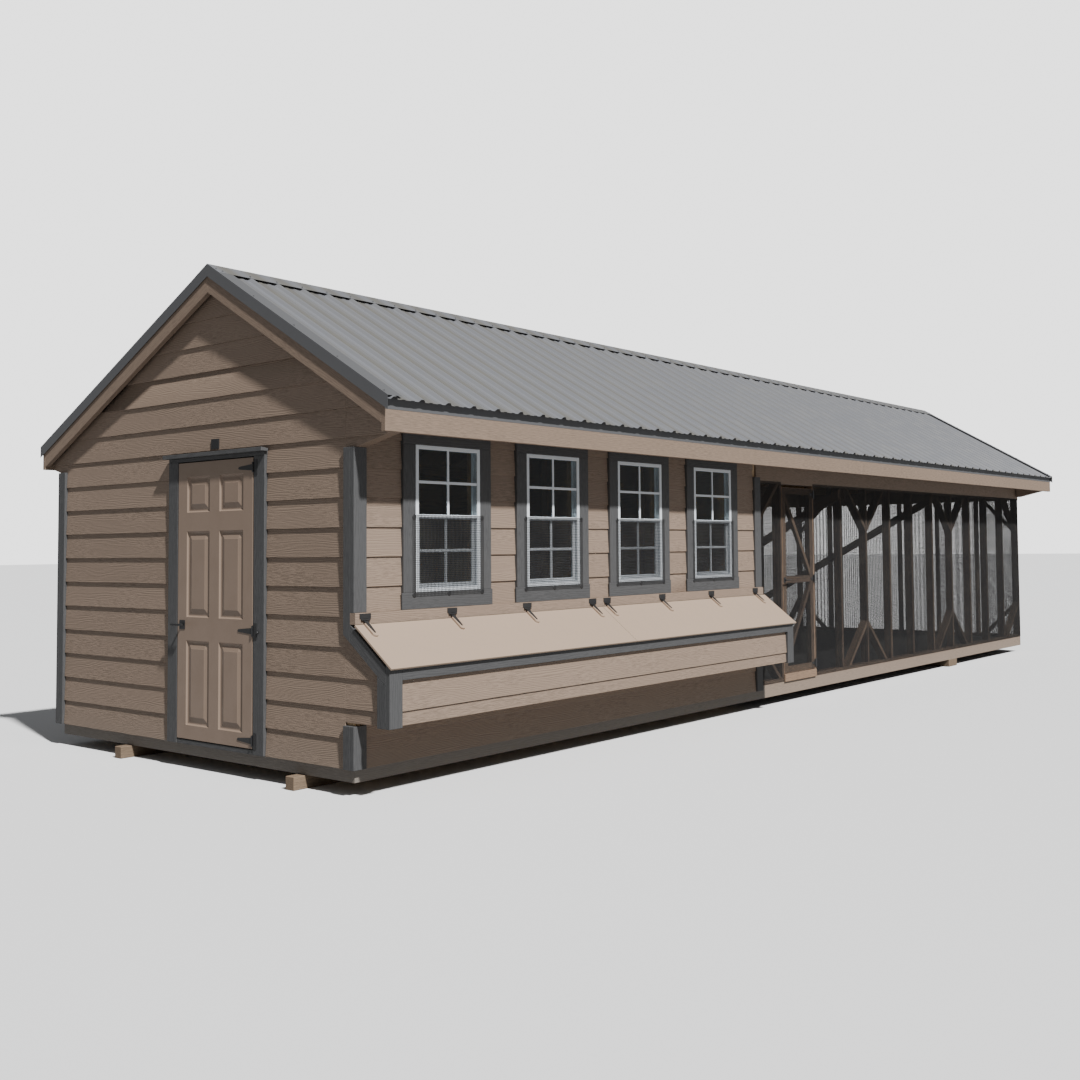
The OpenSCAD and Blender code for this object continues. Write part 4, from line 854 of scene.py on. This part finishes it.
@dataclass
class Run:
    """Posts, headers and braces of the run, its wire cloth and its door."""

    pitch: float = 12.7 * MM
    wire: float = 1.4 * MM
    washer: float = 19 * MM
    rows: tuple[Boards, ...] = (
        Boards("run_front_frame", "run_front_posts", STAINED, "stained_lumber", edge=2 * MM),
        Boards("run_rear_frame", "run_rear_posts", STAINED, "stained_lumber", edge=2 * MM),
        Boards("run_headers", "run_header_boards", CLAY_TRIM, "clay_siding"),
        Boards("sway_braces", "long_braces", STAINED, "stained_lumber", edge=2 * MM),
        Boards("run_door", "run_door_frame", STAINED, "stained_lumber", "run_door", 2 * MM),
    )

    def washers(self, places: np.ndarray) -> None:
        """Domed washers that hold the window screens: a low turned profile that faces out.

        Args:
            places: rows of positions.
        """
        r = self.washer
        dome = [[r, 0], [r, 0.6 * MM], [0.72 * r, 2.2 * MM], [0.4 * r, 3 * MM], [0.36 * r, 3 * MM]]
        face_out = np.array([[1, 0, 0], [0, 0, -1], [0, 1, 0]], float)
        shape = repeated(turned(np.array(dome), segments=16), places, face_out)
        add_piece("guard_washers", shape, BLACK, smooth=True)

    def build(self) -> None:
        """Dresses the boards and weaves cloth over every thin sheet of the mesh nodes."""
        for row in self.rows:
            row.build()
        shape = Surface()
        places = []
        for low, high in solid_boxes("wire_mesh"):
            if (high - low).max() > 4 * self.washer:
                shape = shape.joined(cloth(low, high, self.pitch, self.wire))
            else:
                places.append([(low[0] + high[0]) / 2, high[1], (low[2] + high[2]) / 2])
        add_piece("wire_cloth", shape, WIRE, stands_for=("wire_mesh",))
        low, high = (np.array(c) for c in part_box("run_door_mesh"))
        door = cloth(low, high, self.pitch, self.wire)
        add_piece("run_door_cloth", door, WIRE, "run_door", stands_for=("run_door_mesh",))
        self.washers(np.array(places))


# Profiles in millimetres: along the roof and out from it, then radius and height.
RIB = ((-31, 0), (-28, 1), (-13, 16.5), (-10, 18), (10, 18), (13, 16.5), (28, 1), (31, 0))
FLUTE = ((-17, 0), (-13, 3.6), (13, 3.6), (17, 0))
SCREW = ((7.5, 0), (7.5, 1.2), (5, 2), (4.4, 2.2), (4.2, 6), (3.2, 6.6))
KNOB = ((6, 0), (6, 3), (10, 5), (12, 9), (11, 13), (7, 15.5), (2.5, 16.5))


@dataclass
class Roof:
    """Rafters, deck, ribbed sheets, caps, edge trims and screws. A lead, a tail and an inset
    are measured from the roof's end, screw rows from the eave, and cap_down from the ridge."""

    rib_pitch: float = 230 * MM
    rib_lead: float = 49 * MM
    rib_tail: float = 44 * MM
    rib_high: float = 18 * MM
    end_flat: float = 2 * MM
    sheet: float = 1 * MM
    screw_rows: tuple[float, ...] = (0.05, 0.68, 1.33)
    screw_aside: float = 36 * MM
    cap_down: float = 75 * MM
    cap_out: float = 22.5 * MM
    rake_in: float = 18 * MM
    rake_out: float = 20.8 * MM
    rake_start: float = 0.08
    rake_pitch: float = 0.52
    tries: int = 20
    rows: tuple[Boards, ...] = (
        Boards("rafters", "rafter_boards", FRAMING, "framing_lumber"),
        Boards("ridge_board", "ridge_beam", FRAMING, "framing_lumber"),
        Boards("eave_boards", "eave_trim", CLAY_TRIM, "clay_siding", edge=2 * MM),
        Boards("rake_boards", "rake_trim", CLAY_TRIM, "clay_siding", edge=2 * MM),
        Boards("roof_deck", "deck_sheets", PANEL, "sheathing_board", edge=0),
    )

    def slope(self, node: str, rear: bool) -> tuple[np.ndarray, np.ndarray, np.ndarray, float]:
        """Where a roof side lies, solved from its box: the box's width is L cos a + h sin a and
        its height is L sin a + h cos a, and a is put back into both until it settles.

        Args:
            node: the CAD node of that side.
            rear: True behind the ridge.

        Returns:
            The eave's corner, the direction up the slope, the direction out, and the length.
        """
        low, high = (np.array(c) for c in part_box(node))
        size = high - low
        thick = self.rib_high + self.sheet
        a = math.atan2(size[2], size[1])
        for _ in range(self.tries):
            a = math.atan2(size[2] - thick * math.cos(a), size[1] - thick * math.sin(a))
        length = (size[2] - thick * math.cos(a)) / math.sin(a)
        side = -1 if rear else 1
        up = np.array([0, side * math.cos(a), math.sin(a)])
        out = np.array([0, -side * math.sin(a), math.cos(a)])
        edge = high[1] if rear else low[1]
        corner = np.array([low[0], edge + side * thick * math.sin(a), low[2]])
        return corner, up, out, length

    def width(self, node: str) -> float:
        """How far a roof side reaches along the building."""
        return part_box(node)[1][0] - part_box(node)[0][0]

    def ribs(self, node: str) -> np.ndarray:
        """Distances of the ribs' centres from a roof side's end."""
        return np.arange(self.rib_lead, self.width(node) - self.rib_tail, self.rib_pitch)

    def panels(self, node: str, piece: str, rear: bool) -> None:
        """Ribbed sheets: the profile is a high rib and two low flutes, stepped along the roof,
        and it is carried up the slope as one closed thin sheet.

        Args:
            node: the CAD node of that side.
            piece: the new piece's name.
            rear: True behind the ridge.
        """
        corner, up, out, length = self.slope(node, rear)
        width = self.width(node)
        flute = np.array(FLUTE)
        third = self.rib_pitch / MM / 3
        cell = np.vstack([np.array(RIB), flute + [third, 0], flute + [2 * third, 0]]) * MM
        centres = self.ribs(node)
        x = (centres[:, None] + cell[None, :, 0]).ravel()
        h = np.tile(cell[:, 1], len(centres))
        keep = x < width - self.end_flat
        x = np.concatenate([[0.0], x[keep], [width]])
        h = np.concatenate([[0.0], h[keep], [0.0]])
        loop_x = np.concatenate([x, x[::-1]])
        loop_h = np.concatenate([h + self.sheet, h[::-1]])
        ring = corner + loop_x[:, None] * ALONG + loop_h[:, None] * out
        points = np.vstack([ring, ring + up * length])
        n = len(x)
        i = np.arange(n - 1)
        ends = np.stack([i, i + 1, 2 * n - 2 - i, 2 * n - 1 - i], -1)
        shape = Surface(points, [ring_faces(2, 2 * n, True), ends, ends + 2 * n])
        add_piece(piece, shape, ROOF, stands_for=(node,))

    def screws(self) -> None:
        """Hex screws on washers: a grid beside the ribs, then rows along the cap and the rakes.
        Each grid is its places along the roof, its places up the slope and its lift."""
        unit = turned(np.array(SCREW) * MM, segments=6)
        shape = Surface()
        for node, rear in (("roof_panels_front", False), ("roof_panels_rear", True)):
            corner, up, out, length = self.slope(node, rear)
            turn = np.stack([ALONG, np.cross(out, ALONG), out], -1)
            ribs = self.ribs(node)
            rakes = np.array([self.rake_in, self.width(node) - self.rake_in])
            rake_rows = np.arange(self.rake_start, length, self.rake_pitch)
            for x, s, lift in (
                (ribs + self.screw_aside, np.array(self.screw_rows), self.sheet),
                (ribs, np.array([length - self.cap_down]), self.cap_out),
                (rakes, rake_rows, self.rake_out),
            ):
                x, s = (g.ravel() for g in np.meshgrid(x, s, indexing="ij"))
                spots = corner + x[:, None] * ALONG + s[:, None] * up + lift * out
                shape = shape.joined(repeated(unit, spots, turn))
        add_piece("roof_screws", shape, EDGE)

    def build(self) -> None:
        """Dresses the roof's boards and makes its sheets and screws."""
        for row in self.rows:
            row.build()
        self.panels("roof_panels_front", "front_roof_sheets", False)
        self.panels("roof_panels_rear", "rear_roof_sheets", True)
        self.screws()
        keep_node("ridge_cap", ROOF)
        keep_node("roof_edge_trim", EDGE)


@dataclass
class Windows:
    """Window units, their trims, sashes and glass."""

    count: int = 4

    def build(self) -> None:
        """Dresses trims and frames, and glazes the units."""
        Boards("window_trims", "window_trim_boards", GREY_TRIM, "grey_trim", edge=2 * MM).build()
        Boards("window_frames", "window_units", VINYL, "window_white", edge=2.5 * MM).build()
        keep_node("fixed_glass", GLASS)
        for i in range(1, self.count + 1):
            body = f"window_sash_{i}"
            Boards(f"sash_{i}", f"sash_frame_{i}", VINYL, "window_white", body, 2 * MM).build()
            keep_node(f"sash_glass_{i}", GLASS)


@dataclass
class EntryDoor:
    """Six-panel door with its trims and jamb, a blank plate and a knob. Its rows of panels are
    shares of its height. A moulding's steps go in from a panel's edge and its falls go down
    from the face, both in millimetres."""

    cap_edge: float = 22 * MM
    bevel: float = 1.5 * MM
    bevel_fall: float = -1.2 * MM
    plate_place: tuple[float, float, float] = (56 * MM, 18 * MM, 66 * MM)
    plate_half: tuple[float, float, float] = (3 * MM, 46 * MM, 36 * MM)
    knob_place: tuple[float, float, float] = (44 * MM, -62 * MM, 797 * MM)
    stile: float = 112 * MM
    mullion: float = 118 * MM
    rows: tuple[tuple[float, float], ...] = ((0.05, 0.355), (0.439, 0.75), (0.818, 0.948))
    steps: tuple[float, ...] = (0, 2, 6, 11, 15, 22, 26, 58, 61)
    falls: tuple[float, ...] = (0, -1.5, -7, -10.5, -11, -11, -10, -2.5, -1.2)

    def relief(self, y: np.ndarray, z: np.ndarray, wide: float, high: float) -> np.ndarray:
        """How far the door's face stands out at each place. Each panel's moulding depends on
        the distance in from the panel's nearest edge.

        Args:
            y: places across the door.
            z: places up the door.
            wide: the door's width.
            high: the door's height.

        Returns:
            The height of the face, zero or below.
        """
        out = np.zeros((len(y), len(z)))
        for y0, y1 in self.columns(wide):
            for low, top in self.rows:
                in_y = np.minimum(y - y0, y1 - y)[:, None]
                in_z = np.minimum(z - low * high, top * high - z)[None]
                inside = np.minimum(in_y, in_z)
                fall = np.interp(inside, np.array(self.steps) * MM, np.array(self.falls) * MM)
                out = np.where(inside > 0, fall, out)
        return out

    def columns(self, wide: float) -> list[tuple[float, float]]:
        """The two columns of panels.

        Args:
            wide: the door's width.

        Returns:
            Each column's two sides, as places across the door.
        """
        panel = (wide - 2 * self.stile - self.mullion) / 2
        second = self.stile + panel + self.mullion
        return [(self.stile, self.stile + panel), (second, second + panel)]

    def leaf(self) -> None:
        """The door leaf: the same relief on both faces, closed round its edges."""
        low, high = (np.array(c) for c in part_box("entry_door"))
        wide, tall = high[1] - low[1], high[2] - low[2]
        off = np.array(self.steps) * MM
        y = [0.0, self.bevel, wide - self.bevel, wide]
        z = [0.0, self.bevel, tall - self.bevel, tall]
        for y0, y1 in self.columns(wide):
            y += [*(y0 + off), *(y1 - off)]
        for bottom, top in self.rows:
            z += [*(bottom * tall + off), *(top * tall - off)]
        y, z = np.unique(np.round(y, 5)), np.unique(np.round(z, 5))
        out = self.relief(y, z, wide, tall)
        rim = np.minimum(np.minimum(y, wide - y)[:, None], np.minimum(z, tall - z)[None])
        out = np.where(rim < self.bevel / 3, self.bevel_fall, out)
        gy, gz = np.meshgrid(y, z, indexing="ij")
        front = np.stack([low[0] - out, low[1] + gy, low[2] + gz], -1)
        back = np.stack([high[0] + out, low[1] + gy, low[2] + gz], -1)
        n, m = out.shape
        faces = ring_faces(n, m, False)
        first, last = np.arange(m), n * m - 2 - np.arange(m - 1)
        top, bottom = np.arange(2, n + 1) * m - 1, np.arange(n - 2, 0, -1) * m
        edge = np.concatenate([first, top, last, bottom])
        follow = np.roll(edge, -1)
        sides = np.stack([edge, follow, follow + n * m, edge + n * m], -1)
        points = np.vstack([front.reshape(-1, 3), back.reshape(-1, 3)])
        shape = Surface(points, [faces, faces[:, ::-1] + n * m, sides])
        add_piece("entry_door_leaf", shape, DOOR, "entry_door", stands_for=("entry_door",))

    def thicken_cap(self, trim: bpy.types.Object) -> None:
        """Raises the upper front edge of the drip cap, so that a board's thickness shows.

        Args:
            trim: the door's trim boards, with the cap as the one furthest out.
        """
        points = mesh_arrays(trim.data)[0]
        edge = points[:, 0] < points[:, 0].min() + MM
        upper = edge & (points[:, 2] > points[edge, 2].mean())
        points[upper, 2] += self.cap_edge
        trim.data.vertices.foreach_set("co", points.astype(np.float32).ravel())
        trim.data.update()

    def plate_and_knob(self) -> None:
        """A small blank plate over the door and a round knob by the middle hinge."""
        low, high = (np.array(c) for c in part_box("door_trim"))
        leaf_low, leaf_high = (np.array(c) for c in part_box("entry_door"))
        centre = (leaf_low + leaf_high) / 2
        over = np.array([[low[0], centre[1], high[2]]]) + self.plate_place
        add_piece("blank_plaque", bars(over, np.array([self.plate_half])), BLACK)
        turn = np.array([[0, 0, -1], [0, 1, 0], [1, 0, 0]], float)
        beside = np.array([[low[0], leaf_low[1], leaf_low[2]]]) + self.knob_place
        knob = repeated(turned(np.array(KNOB) * MM, segments=20), beside, turn)
        add_piece("hinge_knob", knob, BLACK, smooth=True)

    def build(self) -> None:
        """Dresses the door, its trims and its iron."""
        trim = Boards("door_trim", "door_trim_boards", GREY_TRIM, "grey_trim", edge=2 * MM).build()
        self.thicken_cap(trim)
        Boards("door_jamb", "door_jamb_boards", GREY_TRIM, "grey_trim").build()
        self.leaf()
        self.plate_and_knob()


@dataclass
class Nests:
    """Nest boxes, their cladding and the two lids."""

    rows: tuple[Boards, ...] = (
        Boards("nest_box", "nest_carcass", PANEL, "sheathing_board"),
        Boards("nest_cladding", "nest_siding", SIDING, "clay_siding"),
        Boards("nest_lid_left", "left_lid", LID, "clay_siding", "nest_lid_left", 2 * MM),
        Boards("nest_lid_right", "right_lid", LID, "clay_siding", "nest_lid_right", 2 * MM),
    )

    def build(self) -> None:
        """Dresses the nests."""
        for row in self.rows:
            row.build()


@dataclass
class Iron:
    """Black hinges, straps and handles."""

    nodes: tuple[str, ...] = (
        "hinge_plates",
        "entry_straps",
        "entry_handle",
        "nest_straps_left",
        "nest_straps_right",
        "run_straps",
        "run_handle",
    )

    def build(self) -> None:
        """Blackens the iron."""
        for node in self.nodes:
            keep_node(node, BLACK)


# ---------- studio ----------


@dataclass
class Studio:
    """Camera, lights and floor."""

    eye: tuple[float, float, float] = (-11.1595, -7.794, 1.579)
    yaw: float = 37.234
    pitch: float = 2.701
    roll: float = -0.602
    lens: float = 39.616
    shift: tuple[float, float] = (-0.0885, -0.0462)
    film: float = 36.0
    clip: tuple[float, float] = (0.1, 400.0)
    key_from: tuple[float, float, float] = (-0.175, -0.64, 0.74)
    key_power: float = 7.8
    key_angle: float = 2.5
    sky: Colour = (0.93, 0.96, 1.0)
    fill: float = 0.18
    backdrop: float = 3.0
    reach: float = 150.0
    pale: float = 0.8
    bounce: float = 0.25

    def camera(self) -> None:
        """Sets the camera: it is turned by yaw about z, then pitched and rolled."""
        yaw, pitch, roll = (math.radians(a) for a in (self.yaw, self.pitch, self.roll))
        ahead = np.array([math.cos(yaw), math.sin(yaw), 0])
        right = np.array([math.sin(yaw), -math.cos(yaw), 0])
        up = np.array([0, 0, 1.0])
        view = ahead * math.cos(pitch) + up * math.sin(pitch)
        top = -ahead * math.sin(pitch) + up * math.cos(pitch)
        side = right * math.cos(roll) + top * math.sin(roll)
        top = -right * math.sin(roll) + top * math.cos(roll)
        data = bpy.data.cameras.new("camera")
        data.lens, data.sensor_width = self.lens, self.film
        data.shift_x, data.shift_y = self.shift
        data.clip_start, data.clip_end = self.clip
        camera = bpy.data.objects.new("camera", data)
        turn = np.stack([side, top, -view], -1)
        camera.matrix_world = Matrix.Translation(self.eye) @ Matrix(turn.tolist()).to_4x4()
        bpy.context.scene.collection.objects.link(camera)
        bpy.context.scene.camera = camera

    def lights(self) -> None:
        """One sun from the front, and a dim even sky that the camera sees as a pale backdrop."""
        key = bpy.data.lights.new("key", "SUN")
        key.energy, key.angle = self.key_power, math.radians(self.key_angle)
        lamp = bpy.data.objects.new("key", key)
        lamp.rotation_mode = "QUATERNION"
        from_dir = np.array(self.key_from) / np.linalg.norm(self.key_from)
        side = np.cross([0, 0, 1.0], from_dir)
        side /= np.linalg.norm(side)
        turn = np.stack([side, np.cross(from_dir, side), from_dir], -1)
        lamp.rotation_quaternion = Matrix(turn.tolist()).to_quaternion()
        bpy.context.scene.collection.objects.link(lamp)
        world = bpy.data.worlds.new("surround")
        n = Nodes(world)
        back = "ShaderNodeBackground"
        fill = n.wire(n.node(back, None, {"Color": (*self.sky, 1.0), "Strength": self.fill}))
        seen = n.wire(n.node(back, None, {"Strength": self.backdrop}))
        camera = n.wire(n.node("ShaderNodeLightPath"), "Is Camera Ray")
        both = n.wire(n.node("ShaderNodeMixShader", None, {0: camera, 1: fill, 2: seen}))
        n.node("ShaderNodeOutputWorld", None, {"Surface": both})
        bpy.context.scene.world = world

    def floor(self) -> None:
        """A plain pale floor that throws back less light than it shows."""
        mesh = bpy.data.meshes.new("studio_floor")
        far = self.reach
        corners = [(-far, -far, 0), (far, -far, 0), (far, far, 0), (-far, far, 0)]
        mesh.from_pydata(corners, [], [(0, 1, 2, 3)])
        obj = bpy.data.objects.new("studio_floor", mesh)
        bpy.context.scene.collection.objects.link(obj)
        r = Recipe("pale_floor")
        seen = r.wire(r.node("ShaderNodeLightPath"), "Is Camera Ray")
        colour = r.mix(seen, (self.bounce,) * 3, (self.pale,) * 3)
        obj.data.materials.append(r.close({"Base Color": colour, "Roughness": 0.8}))

    def build(self) -> None:
        """Sets up the studio."""
        self.camera()
        self.lights()
        self.floor()


def main() -> None:
    """Builds the studio and every sub-assembly in order."""
    logging.basicConfig(level=logging.INFO, format="%(name)s %(message)s")
    for group in (Studio, Floor, Walls, Run, Roof, Windows, EntryDoor, Nests, Iron):
        log.info("building %s", group.__name__)
        group().build()


if __name__ == "__main__":
    main()
